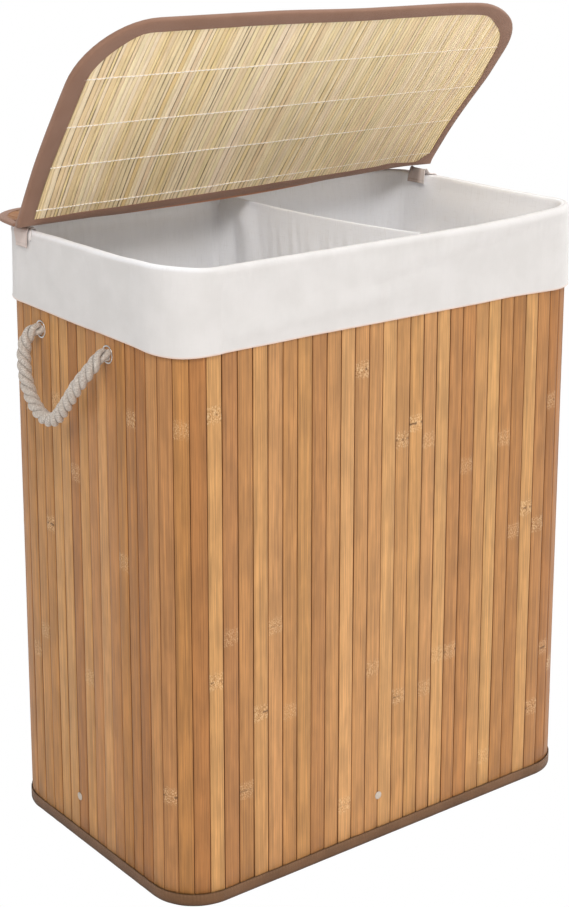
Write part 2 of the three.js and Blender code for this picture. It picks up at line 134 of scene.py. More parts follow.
def place_round(x, y):
    """The distance round the outline of the point of it nearest to (x, y)."""
    t = np.linspace(0, ROUND, 4000, endpoint=False)
    point, _ = outline(t)
    return float(t[np.argmin(np.hypot(point[:, 0] - x, point[:, 1] - y))])


def round_gap(t, place):
    """Signed distance round the outline from a place, the short way."""
    return np.mod(t - place + ROUND / 2, ROUND) - ROUND / 2


# Curves


def smooth_noise(x, seed, count=5, low=0.6, high=3.0):
    """Gentle waves in -1..1 along x, which is in wave lengths."""
    local = np.random.default_rng(seed)
    x = np.asarray(x, float)
    total = np.zeros(x.shape)
    for _ in range(count):
        rate, phase, share = local.uniform(low, high), local.uniform(0, TAU), local.uniform(0.5, 1)
        total += share * np.sin(TAU * rate * x + phase)
    return total / (0.75 * count)


def ease(x, start, end):
    """0 before start and 1 after end, smoothly."""
    x = np.clip((np.asarray(x, float) - start) / (end - start), 0, 1)
    return x * x * (3 - 2 * x)


def peak(x, width, power=2):
    """1 where x is zero, falling away over about width."""
    return np.exp(-((x / width) ** power))


def so_far(steps):
    """The distance covered before each step, and after the last."""
    return np.concatenate([[0], np.cumsum(steps)])


def catmull(points, per=14):
    """A smooth line through points, at even steps, with the distance along it."""
    p = np.asarray(points, float)
    p = np.concatenate([[2 * p[0] - p[1]], p, [2 * p[-1] - p[-2]]])
    line = []
    for a, b, c, d in zip(p, p[1:], p[2:], p[3:]):
        for u in np.linspace(0, 1, per, endpoint=False):
            square, cube = 2 * a - 5 * b + 4 * c - d, 3 * b - a - 3 * c + d
            line.append(0.5 * (2 * b + (c - a) * u + square * u * u + cube * u ** 3))
    line = np.array(line + [p[-2]])
    run = so_far(np.linalg.norm(np.diff(line, axis=0), axis=1))
    even = np.arange(0, run[-1], 0.9 * MM)
    return np.stack([np.interp(even, run, line[:, k]) for k in range(3)], -1), even


# Meshes


def spread(shape, *three):
    """Three values for each point of a grid, from numbers, rows or grids."""
    return np.stack([np.broadcast_to(value, shape) for value in three], -1).reshape(-1, 3)


def grid_faces(rows, columns, close_rows=False, close_columns=False):
    """Quads between points stored row by row."""
    r = np.arange(rows if close_rows else rows - 1)
    c = np.arange(columns if close_columns else columns - 1)
    a, b = np.meshgrid(r, c, indexing="ij")
    a2, b2 = (a + 1) % rows, (b + 1) % columns
    quads = [a * columns + b, a * columns + b2, a2 * columns + b2, a2 * columns + b]
    return np.stack(quads, -1).reshape(-1, 4).tolist()


def loft(sections):
    """Points and faces of closed rings, one per row, with flat ends."""
    sections = np.asarray(sections, float)
    rows, columns = sections.shape[:2]
    faces = grid_faces(rows, columns, close_columns=True)
    faces.append(list(range(columns))[::-1])
    faces.append([(rows - 1) * columns + i for i in range(columns)])
    return sections, faces


def new_object(name, points, faces, material, smooth=True, **values):
    """A mesh object from points in metres, with three named values at each point."""
    mesh = bpy.data.meshes.new(name)
    mesh.from_pydata(np.asarray(points, float).reshape(-1, 3).tolist(), [], faces)
    for key, data in values.items():
        layer = mesh.attributes.new(key, "FLOAT_VECTOR", "POINT")
        layer.data.foreach_set("vector", np.asarray(data, np.float32).ravel())
    mesh.update()
    mesh.shade_smooth() if smooth else mesh.shade_flat()
    made = bpy.data.objects.new(name, mesh)
    scene.collection.objects.link(made)
    made.data.materials.append(material)
    return made


def new_cloth(name, points, faces, material, run, girth, inside=0, edge=0):
    """A mesh that knows its cloth's two directions and the weights of its inner tone and its trim tone, which mark
    painted light and painted shade as well as stitched edges.
    """
    shape = points.shape[:2]
    weave, zone = spread(shape, run, girth, 0), spread(shape, inside, edge, 0)
    return new_object(name, points, faces, material, weave=weave, zone=zone)


def thicken(obj, thickness):
    """Gives a sheet its thickness, half to each side."""
    made = obj.modifiers.new("thickness", "SOLIDIFY")
    made.thickness = thickness
    made.offset = 0
    made.use_even_offset = False


class Builder:
    """Collects parts of one mesh, each with its own point values."""

    def __init__(self):
        self.points, self.faces, self.values, self.count = [], [], {}, 0

    def add(self, points, faces, **values):
        points = np.asarray(points, float).reshape(-1, 3)
        self.faces += [[i + self.count for i in f] for f in faces]
        self.points.append(points)
        for key, data in values.items():
            self.values.setdefault(key, []).append(data)
        self.count += len(points)

    def build(self, name, material):
        values = {key: np.concatenate(data) for key, data in self.values.items()}
        return new_object(name, np.concatenate(self.points), self.faces, material, **values)


# Materials


def colour(value):
    """A linear colour from an sRGB hex number."""
    parts = [((value >> shift) & 255) / 255 for shift in (16, 8, 0)]
    linear = [c / 12.92 if c <= 0.04045 else ((c + 0.055) / 1.055) ** 2.4 for c in parts]
    return (*linear, 1.0)


class Shader:
    """A small helper round the nodes of a material or the world. Colours are hex numbers."""

    def __init__(self, owner):
        owner.use_nodes = True
        self.owner, self.tree = owner, owner.node_tree
        self.surface = self.tree.nodes.get("Principled BSDF")

    def node(self, kind, inputs=None, output=0, **settings):
        made = self.tree.nodes.new("ShaderNode" + kind)
        for key, value in settings.items():
            setattr(made, key, value)
        for key, value in (inputs or {}).items():
            self.put(made.inputs[key], value)
        return made.outputs[output]

    def put(self, socket, value):
        if isinstance(value, bpy.types.NodeSocket):
            self.tree.links.new(value, socket)
        else:
            socket.default_value = colour(value) if socket.type == "RGBA" else value

    def set(self, **values):
        for key, value in values.items():
            self.put(self.surface.inputs[key.replace("_", " ")], value)

    def math(self, kind, a, b=0.0):
        return self.node("Math", {0: a, 1: b}, operation=kind)

    def plus(self, a, b):
        return self.math("ADD", a, b)

    def times(self, a, b):
        return self.math("MULTIPLY", a, b)

    def between(self, value, low, high, to_low=0.0, to_high=1.0):
        inputs = {"Value": value, "From Min": low, "From Max": high, "To Min": to_low, "To Max": to_high}
        return self.node("MapRange", inputs, interpolation_type="SMOOTHSTEP")

    def mix(self, factor, a, b, kind="MIX"):
        return self.node("Mix", {0: factor, 6: a, 7: b}, 2, data_type="RGBA", blend_type=kind)

    def toned(self, base, shade):
        grey = self.node("CombineColor", {0: shade, 1: shade, 2: shade})
        return self.mix(1.0, base, grey, "MULTIPLY")

    def attribute(self, name):
        return self.node("Attribute", output="Vector", attribute_name=name)

    def parts(self, vector):
        made = self.tree.nodes.new("ShaderNodeSeparateXYZ")
        self.tree.links.new(vector, made.inputs[0])
        return made.outputs[0], made.outputs[1], made.outputs[2]

    def noise(self, vector, scale, detail=3.0, rough=0.5):
        """Noise with one scale, or with one for each direction."""
        if isinstance(scale, tuple):
            vector = self.node("VectorMath", {0: vector, 1: scale}, operation="MULTIPLY")
            scale = 1.0
        inputs = {"Vector": vector, "Scale": scale, "Detail": detail, "Roughness": rough}
        return self.node("TexNoise", inputs)

    def bump(self, height, strength, distance):
        inputs = {"Height": height, "Strength": strength, "Distance": distance}
        self.set(Normal=self.node("Bump", inputs))
        return self.owner


def bamboo_material():
    """Slat bamboo: grain along each slat, a tone of its own and mottled knuckles."""
    s = Shader(bpy.data.materials.new("bamboo"))
    grain = s.attribute("grain")
    light, warm, edge = s.parts(s.attribute("tone"))
    near, far, strength = s.parts(s.attribute("spots"))
    fine = s.noise(grain, (1900, 300, 16), 3, 0.6)
    fibre = s.noise(grain, (760, 200, 11), 3, 0.62)
    broad = s.noise(grain, (210, 80, 2.4), 2)
    cloud = s.noise(grain, (70, 20, 24))
    base = s.mix(light, s.mix(warm, 0xAC743C, 0xA77040), s.mix(warm, 0xD3A266, 0xCF9A64))
    shade = s.between(fibre, 0.28, 0.72, 0.80, 1.15)
    for value, low, high in ((fine, 0.88, 1.09), (broad, 0.92, 1.07), (cloud, 0.88, 1.09)):
        shade = s.times(shade, s.between(value, 0.3, 0.7, low, high))
    base = s.toned(base, shade)
    vein = s.between(s.noise(grain, (1050, 200, 19), 2), 0.60, 0.72, 0.0, 0.34)
    base = s.mix(vein, base, 0x7E4C20)
    wobble = s.times(s.math("SUBTRACT", s.noise(grain, (300, 300, 300), 2), 0.5), 9 * MM)
    crumbs = s.noise(grain, (860, 400, 640), 2, 0.7)
    bright, dark = s.between(crumbs, 0.52, 0.60), s.between(crumbs, 0.36, 0.44, 1.0, 0.0)
    patches, lines = [], []
    for distance in (near, far):
        reach = s.math("ABSOLUTE", s.plus(distance, wobble))
        patches.append(s.between(reach, 5.5 * MM, 10.5 * MM, 1.0, 0.0))
        bent = s.math("ABSOLUTE", s.plus(distance, s.times(wobble, 0.3)))
        lines.append(s.between(bent, 0.4 * MM, 1.6 * MM, 1.0, 0.0))
    patch = s.times(s.math("MAXIMUM", *patches), strength)
    line = s.times(s.math("MAXIMUM", *lines), s.between(strength, 0.7, 0.95, 0.0, 0.8))
    line = s.times(line, s.between(s.noise(grain, (190, 60, 3), 1), 0.50, 0.58))
    base = s.mix(s.times(patch, 0.12), base, 0xD9AE7C)
    base = s.mix(s.times(patch, s.times(bright, 0.6)), base, 0xEBCB9E)
    base = s.mix(s.times(patch, s.times(dark, 0.6)), base, 0x74431C)
    base = s.mix(line, base, 0x55300F)
    # Painted shade: slat sides and bevels towards the gaps, and slats painted as lying in shadow, darken to this
    # brown.
    base = s.mix(s.times(edge, 0.85), base, 0x6B3B15)
    gloss = s.between(fibre, 0.3, 0.7, 0.44, 0.58)
    s.set(Base_Color=base, Roughness=gloss, Specular_IOR_Level=0.35)
    return s.bump(s.plus(s.plus(fine, fibre), s.times(crumbs, s.times(patch, 0.9))), 0.28, 0.22 * MM)


def straw_material():
    """Split straw: pale strips with fine fibres, small flecks and a tone for each strip."""
    s = Shader(bpy.data.materials.new("straw"))
    grain = s.attribute("grain")
    light, warm, edge = s.parts(s.attribute("tone"))
    fibres = s.noise(grain, (2400, 600, 30), 3, 0.65)
    flecks = s.noise(grain, (1300, 500, 210), 2, 0.6)
    cloud = s.noise(grain, (70, 30, 26), 2)
    base = s.mix(light, s.mix(warm, 0xF1D494, 0xECCA96), s.mix(warm, 0xFFEBBE, 0xFFE6C8))
    shade = s.times(s.between(fibres, 0.3, 0.7, 0.84, 1.12), s.between(cloud, 0.3, 0.7, 0.95, 1.06))
    base = s.toned(base, shade)
    base = s.mix(s.between(flecks, 0.66, 0.76, 0.0, 0.5), base, 0xFFF6E0)
    base = s.mix(s.between(flecks, 0.24, 0.31, 0.4, 0.0), base, 0x9C7B47)
    # Painted shade: the dark edge tone at open gaps and along the binding.
    s.set(Base_Color=s.mix(edge, base, 0x5E3F18), Roughness=0.6)
    return s.bump(fibres, 0.3, 0.2 * MM)


def cloth_material(name, face, dark, weave, rough=0.9, strength=0.35, sheen=0.3, inner=None, trim=None):
    """Plain woven cloth: threads as relief and soft unevenness in its colour. The attribute zone mixes in the inner
    tone (x) and the trim tone (y). These are painted light and painted shade: the lighter inside of the bins and left
    rim roll, the dark turns of the edge tape, the paler plies of the straps and the highlights on the hem and the
    fold; the trim tone is also the colour of real stitching."""
    s = Shader(bpy.data.materials.new(name))
    place = s.attribute("weave")
    u, v, _ = s.parts(place)
    cross = s.times(*(s.math("SINE", s.times(axis, TAU / weave)) for axis in (u, v)))
    slub = s.noise(place, (900, 60, 1))
    weft = s.noise(place, (70, 1000, 1), 2)
    cloud = s.noise(place, 28.0)
    base = s.mix(s.times(s.between(cloud, 0.3, 0.7), 0.5), face, dark)
    inside, edge, _ = s.parts(s.attribute("zone"))
    # Painted light and painted shade: the inner and trim tones.
    base = s.mix(inside, base, face if inner is None else inner)
    base = s.mix(edge, base, face if trim is None else trim)
    uneven = s.plus(s.between(slub, 0.52, 0.75, 0.0, 0.2), s.between(weft, 0.55, 0.75, 0.0, 0.14))
    base = s.mix(uneven, base, dark)
    s.set(Base_Color=base, Roughness=rough, Specular_IOR_Level=0.15, Sheen_Weight=sheen)
    return s.bump(s.plus(cross, s.times(slub, 1.5)), strength, 0.12 * MM)


def rope_material():
    """Cotton rope: fine yarns wound along each strand, with painted shade where the strands meet."""
    s = Shader(bpy.data.materials.new("rope"))
    place = s.attribute("weave")
    u, v, painted_crevice_shade = s.parts(place)
    yarn = s.math("SINE", s.plus(s.times(u, TAU * 9), s.times(v, TAU * 150)))
    fuzz = s.noise(place, (8, 1400, 1), 4, 0.7)
    cloud = s.noise(place, (1, 60, 1), 2)
    base = s.mix(s.between(fuzz, 0.35, 0.7), 0xA1958A, 0xDCD3C9)
    base = s.mix(s.times(s.between(cloud, 0.35, 0.7), 0.35), base, 0xC6B9AA)
    # Painted shade in the grooves between strands.
    base = s.mix(s.times(painted_crevice_shade, 0.95), base, 0x33271E)
    s.set(Base_Color=base, Roughness=0.92, Specular_IOR_Level=0.1, Sheen_Weight=0.3)
    return s.bump(s.plus(yarn, s.times(fuzz, 3.0)), 0.35, 0.14 * MM)


def simple_material(name, tone, rough, metal=0.0, mottle=0.12):
    """A plain stock with slight mottling and unevenness in its gloss."""
    s = Shader(bpy.data.materials.new(name))
    spots = s.noise(s.node("TexCoord", output=3), 240.0, 4)
    base = s.toned(tone, s.between(spots, 0.3, 0.7, 1 - mottle, 1 + mottle / 2))
    gloss = s.between(spots, 0.3, 0.7, rough * 0.85, min(1.0, rough * 1.15))
    s.set(Base_Color=base, Roughness=gloss, Metallic=metal)
    return s.bump(spots, 0.1, 0.1 * MM)


BAMBOO = bamboo_material()
STRAW = straw_material()
# The inner tone is a lighter copy of the same cotton for the bins' inside: painted light. The trim tone is a pinkish
# painted highlight along the hem's fold.
COTTON = cloth_material("cotton", 0xDCD8D5, 0xD0CCC8, 0.55 * MM, inner=0xFAFAFC, trim=0xE6CDBE)
# The trim tone is copper: a painted highlight on the fold and low on the flap's front.
BINDING = cloth_material("binding", 0x94715E, 0x86634F, 0.5 * MM, 0.85, 0.3, 0.2, trim=0xC98D6A)
# The inner tone is dark brown: painted shade where the tape turns; the trim tone is its lighter stitching.
EDGE_TAPE = cloth_material("edge_tape", 0x7A583C, 0x553A22, 0.7 * MM, 0.88, 0.6, 0.2, 0x3E2A1A, 0xA88260)
# The inner tone is a paler copy of the webbing: painted light. The trim tone is the stitching's, also used as painted
# shade.
WEBBING = cloth_material("webbing", 0xDECDC4, 0xCDBBB0, 1.2 * MM, 0.85, 0.9, 0.3, 0xEFE8E4, 0x6E5A4E)
THREAD = simple_material("thread", 0xFFF4E6, 0.7, mottle=0.05)
ROPE = rope_material()
BACKING = simple_material("backing", 0x7A5130, 0.92)
BOARD = simple_material("board", 0xA88C66, 0.85)
WIRE = simple_material("wire", 0xB8BABD, 0.35, 1.0)
RIVET = simple_material("rivet", 0xC8BDB0, 0.4, 0.55)
EYELET = simple_material("eyelet", 0xE4E2DF, 0.28, 0.9)


# Slats


def plank(builder, origin, across, out, along, width, start, end, seed, knots, depth, painted_shadow=0.0, painted_shade=0.0):
    """One slat: a bevelled, slightly crowned bar with small bends. end is a function of
    the place across it that gives how far along it stops."""
    local = np.random.default_rng(seed)
    half = width / 2 - local.uniform(0.16, 0.42) * MM
    side = [(inset * MM - half, -share * depth) for share, inset in
            ((1.0, 0.25), (0.66, 0), (0.3, 0), (0.14, 0.12), (0.03, 0.42))]
    side += [(share * half, 0.15 * MM * (1 - share * share)) for share in (-0.6, -0.2)]
    section = np.array(side + [(-u, d) for u, d in side[::-1]])
    # Painted shade: the slat's sides and bevels take a dark edge tone towards the gaps, and the tone can be raised
    # over the whole slat for painted shadow.
    rim = [1, 1, 1, 0.55, 0.1, 0, 0]
    rim = np.maximum(rim + rim[::-1], painted_shadow)
    last = end(section[:, 0])
    length = float(np.max(last)) - start
    rows = list(np.linspace(0, 1, max(6, int(length / 0.03))))
    for knot in knots:
        rows += [(knot - start + step * MM) / length for step in (-6, -3, -1.2, 0, 1.2, 3, 6)]
    rows = np.array(sorted(min(max(r, 0.0), 1.0) for r in rows))
    sway = 0.16 * MM * smooth_noise(rows, seed + 1)
    bend = 0.14 * MM * smooth_noise(rows, seed + 2)
    tilt = math.radians(local.uniform(-1.3, 1.3)) + math.radians(0.6) * smooth_noise(rows, seed + 3)
    for knot in knots:
        bend = bend + 0.12 * MM * peak(start + rows * length - knot, 3.2 * MM)
    u = section[None, :, 0] + sway[:, None]
    v = start + rows[:, None] * (last - start)[None, :]
    front = section[None, :, 1] > -0.4 * depth
    w = section[None, :, 1] + (bend[:, None] + section[None, :, 0] * np.tan(tilt)[:, None]) * front
    w = np.minimum(w, 0.44 * MM)
    across, out, along, origin = (np.asarray(a, float) for a in (across, out, along, origin))
    points, faces = loft(origin + u[..., None] * across + w[..., None] * out + v[..., None] * along)
    shift = local.uniform(-3, 3, 3)
    where = (list(knots) + [-10.0, -10.0])[:2]
    mark = local.uniform(0.55, 1.0) if knots else 0.0
    # The mean of the slat's light tone is lowered by painted shade where the light falls off.
    light, warm = local.normal(0.5 - painted_shade, 0.22), local.normal(0.5, 0.3)
    builder.add(points, faces, grain=spread(v.shape, u + shift[0], w + shift[1] * 0.1, v + shift[2]),
                spots=spread(v.shape, v - where[0], v - where[1], mark),
                tone=spread(v.shape, np.clip(light, 0, 1), np.clip(warm, 0, 1), rim))


def knots_for(local, low, high):
    """Heights of a slat's knuckles: none, one or two of them."""
    count = local.choice([0, 1, 2], p=[0.3, 0.55, 0.15])
    first = local.uniform(low, high)
    if count == 2:
        return [first, low + (first - low + (high - low) * local.uniform(0.42, 0.58)) % (high - low)]
    return [first] * int(count)


def wall_slats():
    """The walls' slats, one mesh for each side and each corner, with painted shade: slats are painted darker near the
    front corners and towards the front's right end and the back's left end.
    """
    nodes = [name for side in range(4) for name in
             (f"slats_{SIDES[side]}", f"slats_{SIDES[side]}_{SIDES[(side + 1) % 4]}_corner")]
    nudge = 1e-9
    seed = 100
    for node, (start, length) in zip(nodes, RUNS):
        builder = Builder()
        marks = np.linspace(nudge, length - nudge, round(length / SLAT_PITCH) + 1)
        points, _ = outline(start + marks)
        for a, b in zip(points[:-1], points[1:]):
            seed += 7
            knots = knots_for(np.random.default_rng(seed), 0.04, HEM - 0.02)
            width, middle = np.linalg.norm(b - a), (a + b) / 2
            across = (b - a) / width
            gap = min(math.dist(middle, (sign * HALF_WIDTH, -HALF_DEPTH)) for sign in (-1, 1))
            # Painted shade: a darker tone near the front corners and towards the front's right end and the back's
            # left end.
            painted_shade = 0.36 * peak(gap, 0.07) + 0.28 * ease(across[0] * middle[0], 0.02, 0.2)
            plank(builder, [*middle, 0], [*across, 0], [across[1], -across[0], 0], [0, 0, 1], width,
                  WALL_LOW, lambda u: WALL_HIGH - 2.4 * MM + 0 * u, seed, knots, SLAT_THICKNESS,
                  painted_shade=painted_shade)
        made = builder.build(node.replace("slats", "planks"), BAMBOO)
        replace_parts(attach(made, "body"), node)


# Tape bound over the wall's edges


def edge_tape(name, node, edge, reach):
    """Tape folded over an edge of the wall at the height edge, with its free edges at reach."""
    t = np.linspace(0, ROUND, 900, endpoint=False)
    up = 1 if reach > edge else -1
    sink = np.zeros(len(t))
    for start, length in RUNS:
        count = round(length / SLAT_PITCH)
        for k in range(count + 1):
            sink += peak(round_gap(t, start + length * k / count), 1.3 * MM)
    sink = 0.26 * np.clip(sink, 0, 1)
    # All in millimetres from here: the tape's outer face, its back, its edge and its free edge
    outer = (HALF_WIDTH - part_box(node)[1].x) / MM
    back, edge = outer + 5.7, edge / MM
    free = reach / MM + 0.35 * smooth_noise(t / ROUND * 9, 5, 6)
    puff = outer + 0.12 * smooth_noise(t / ROUND * 30, 9, 6) + 0.1
    # Inset, height, distance along the cloth, painted shade (dark at the free edge, where the tape turns over the
    # wall's edge and on the leg behind), stitching
    rows = [
        (puff + 0.7, free - up * 0.3, 0, 0.7, 0), (puff + 0.35 + sink, free, 0.4, 0.8, 0),
        (puff + 0.05 + sink, free - up * 0.5, 0.8, 0.25, 0.15),
        (puff + sink * 0.8 + 0.1, free - up * 1.6, 2, 0, 0.3),
        (puff + sink * 0.5 - 0.05, free - up * 4, 4.5, 0, 0.1), (puff, edge + up * 5, 8, 0, 0),
        (puff, edge + up * 2.2, 11, 0.35, 0), (puff + 0.3, edge + up * 0.9, 12, 0.8, 0),
        (puff + 1.1, edge + up * 0.15, 13, 1, 0), (puff + 2.2, edge, 14, 1, 0), (back - 2, edge, 17, 1, 0),
        (back - 0.4, edge + up * 0.5, 19, 1, 0), (back, edge + up * 2, 21, 1, 0), (back, free, 32, 1, 0),
        (back - 0.7, free, 33, 1, 0), (back - 0.7, edge + up * 1.6, 44, 1, 0),
        (puff + 1.3, edge + up, 45, 1, 0), (puff + 0.7, edge + up * 2, 47, 1, 0),
    ]
    points = np.stack([ring(t, row[0] * MM, row[1] * MM) for row in rows])
    faces = grid_faces(len(rows), len(t), close_rows=True, close_columns=True)
    girth, dark, stitched = np.array([row[2:] for row in rows], float).T[..., None]
    beat = 0.55 + 0.45 * np.sin(TAU * t / (3.2 * MM))
    made = new_cloth(name, points, faces, EDGE_TAPE, t, girth * MM, dark, stitched * beat)
    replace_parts(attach(made, "body"), node)


# Liner

DIVIDER_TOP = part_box("liner_divider")[1].z
DIVIDER_REAR, DIVIDER_FRONT = 12 * MM, 38 * MM
LINER = HALF_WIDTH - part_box("liner_right_wall")[1].x
HOLES = [(sign * HALF_WIDTH, HANDLE.y + step) for sign in (-1, 1) for step in (-HOLE_STEP, HOLE_STEP)]


def divider_x(y):
    """Where the divider's plane stands at y."""
    span = HALF_DEPTH - LINER
    return DIVIDER_REAR + (DIVIDER_FRONT - DIVIDER_REAR) * (span - y) / (2 * span)


def fold_field(t, z, seed, count, per_round, lean):
    """Soft upright folds, 0..1, that drift sideways as they fall."""
    local = np.random.default_rng(seed)
    total = np.zeros(np.broadcast(t, z).shape)
    for _ in range(count):
        waves = local.integers(*per_round)
        phase, drift = local.uniform(0, TAU), local.uniform(-lean, lean)
        swing = 0.6 * np.sin(TAU * z / local.uniform(0.25, 0.6) + local.uniform(0, TAU))
        wave = np.sin(TAU * waves * t / ROUND + phase + drift * z * TAU + swing)
        total += (0.5 + 0.5 * wave) ** 2.2
    return total / count


def eased_round(places):
    """A smooth rise round the outline through places (x, y, rise) in millimetres."""
    marks = sorted((place_round(x * MM, y * MM), rise * MM) for x, y, rise in places)
    fine = np.linspace(0, ROUND, 1600, endpoint=False)
    level = np.interp(fine, [m for m, _ in marks], [r for _, r in marks], period=ROUND)
    kernel = np.hanning(45)
    level = np.convolve(np.tile(level, 3), kernel / kernel.sum(), "same")[1600:3200]
    return lambda t: np.interp(np.mod(t, ROUND), fine, level, period=ROUND)


HEM_RISE = eased_round([
    (-260, 100, 7.6), (-260, 60, 6.6), (-260, 20, 5.3), (-260, -60, 4.2), (-260, -110, 3.9), (-247, -143, 0.8),
    (-228, -157, 2.2), (-205, -160, 3.2), (-150, -160, 3.2), (-110, -160, 4.0), (30, -160, 3.8),
    (110, -160, 3.2), (150, -160, 3.6), (170, -160, 3.2), (205, -160, 2.4), (258, -123, 2.0), (260, 100, 3.0),
    (150, 160, 4.0), (-150, 160, 5.5), (-245, 145, 7.6),
])
RIM_RISE = eased_round([
    (-260, 112, -1.9), (-260, 88, -1.9), (-260, 60, -1.4), (-260, -60, -1.4), (-260, -90, -0.5),
    (-258, -123, 1.0), (-245, -145, 0.1), (-228, -157, -1.5), (60, -160, -1.4), (120, -160, -0.6),
    (160, -160, 0.5), (200, -160, 2.8), (238, -154, 4.8), (258, -123, 4.0), (260, -60, 3.0), (260, 60, 3.2),
    (260, 72, 3.4), (260, 84, 2.2), (260, 104, 2.2), (260, 116, 3.2), (238, 154, 2.0), (150, 160, 0.3),
    (-150, 160, -0.3), (-238, 154, -1.0),
])

# Soft ridges in the cuff's cloth: from (x, y, z) to (x, y, z), width and height, in millimetres
CREASES = [
    ((216, -160, 634), (123, -160, 620), 10, 2.3), ((123, -160, 620), (37, -160, 607), 11.5, 2.7),
    ((37, -160, 607), (-30, -160, 598), 14, 1.5), ((50, -160, 584), (-21, -160, 577), 12, 1.1),
    ((-21, -160, 577), (-115, -160, 570), 10, 2.0), ((-115, -160, 570), (-194, -160, 563), 9, 1.8),
    ((-259, -122, 560), (-260, -65, 592), 16, 1.5), ((-260, -65, 592), (-260, -25, 622), 16, 1.1),
    ((-248, -142, 590), (-235, -153, 556), 14, 1.3), ((-215, -160, 612), (-248, -142, 590), 14, 1.1),
    ((-260, 20, 575), (-260, 60, 600), 16, 1.0),
]


def creased(t, z):
    """How far the cuff's soft ridges stand out at distances t round it and heights z. Each
    falls away more gently on one side."""
    total = 0 * t
    for *ends, width, height in CREASES:
        a, b = (np.array([place_round(x * MM, y * MM), up * MM]) for x, y, up in ends)
        span = b - a
        span[0] = round_gap(b[0], a[0])
        du, dz = round_gap(t, a[0]), z - a[1]
        share = np.clip((du * span[0] + dz * span[1]) / (span @ span), 0, 1)
        gap = np.hypot(du - share * span[0], dz - share * span[1])
        beside = (du * span[1] - dz * span[0]) / np.linalg.norm(span)
        total = np.maximum(total, height * MM * peak(gap, width * MM * (1 + 0.25 * np.tanh(beside / (6 * MM)))))
    return total


def inner_push(t, z):
    """How far the bins' cloth hangs in from the wall at a height."""
    free = ease(RIM - z, 14 * MM, 90 * MM)
    east = peak(round_gap(t, side_start(1) + STRAIGHTS[1] / 2), 0.42, 4)
    folds = 3.4 * MM * fold_field(t, z, 51, 4, (14, 34), 1.5) * (1 - 0.6 * east)
    fine = 1.0 * MM * fold_field(t, z, 52, 6, (60, 130), 3.0) * (1 - 0.5 * east)
    near_rim = 0.45 * MM * fold_field(t, z, 53, 6, (90, 190), 4.0) * ease(RIM - z, 7 * MM, 16 * MM)
    push = folds * (0.12 + 0.88 * free) + fine * (0.35 + 0.65 * free) + near_rim
    below, above = np.clip(HANDLE.z - z, 0, None), np.clip(z - HANDLE.z, 0, None)
    drop = peak(np.maximum(below - 12 * MM, 0), 0.15, 1.3) * peak(np.maximum(above - 10 * MM, 0), 22 * MM)
    for place in HOLES:
        beside = np.maximum(np.abs(round_gap(t, place_round(*place))) - 8 * MM, 0)
        push = push + 14 * MM * drop * peak(beside, 24 * MM + 0.12 * below, 1.8)
    for place in ((DIVIDER_REAR - 5 * MM, HALF_DEPTH), (DIVIDER_FRONT, -HALF_DEPTH)):
        gap = round_gap(t, place_round(*place))
        push = push + 2.5 * MM * peak(gap, 5 * MM) * ease(RIM - z, 4 * MM, 22 * MM)
    return np.maximum(push, -0.6 * MM)


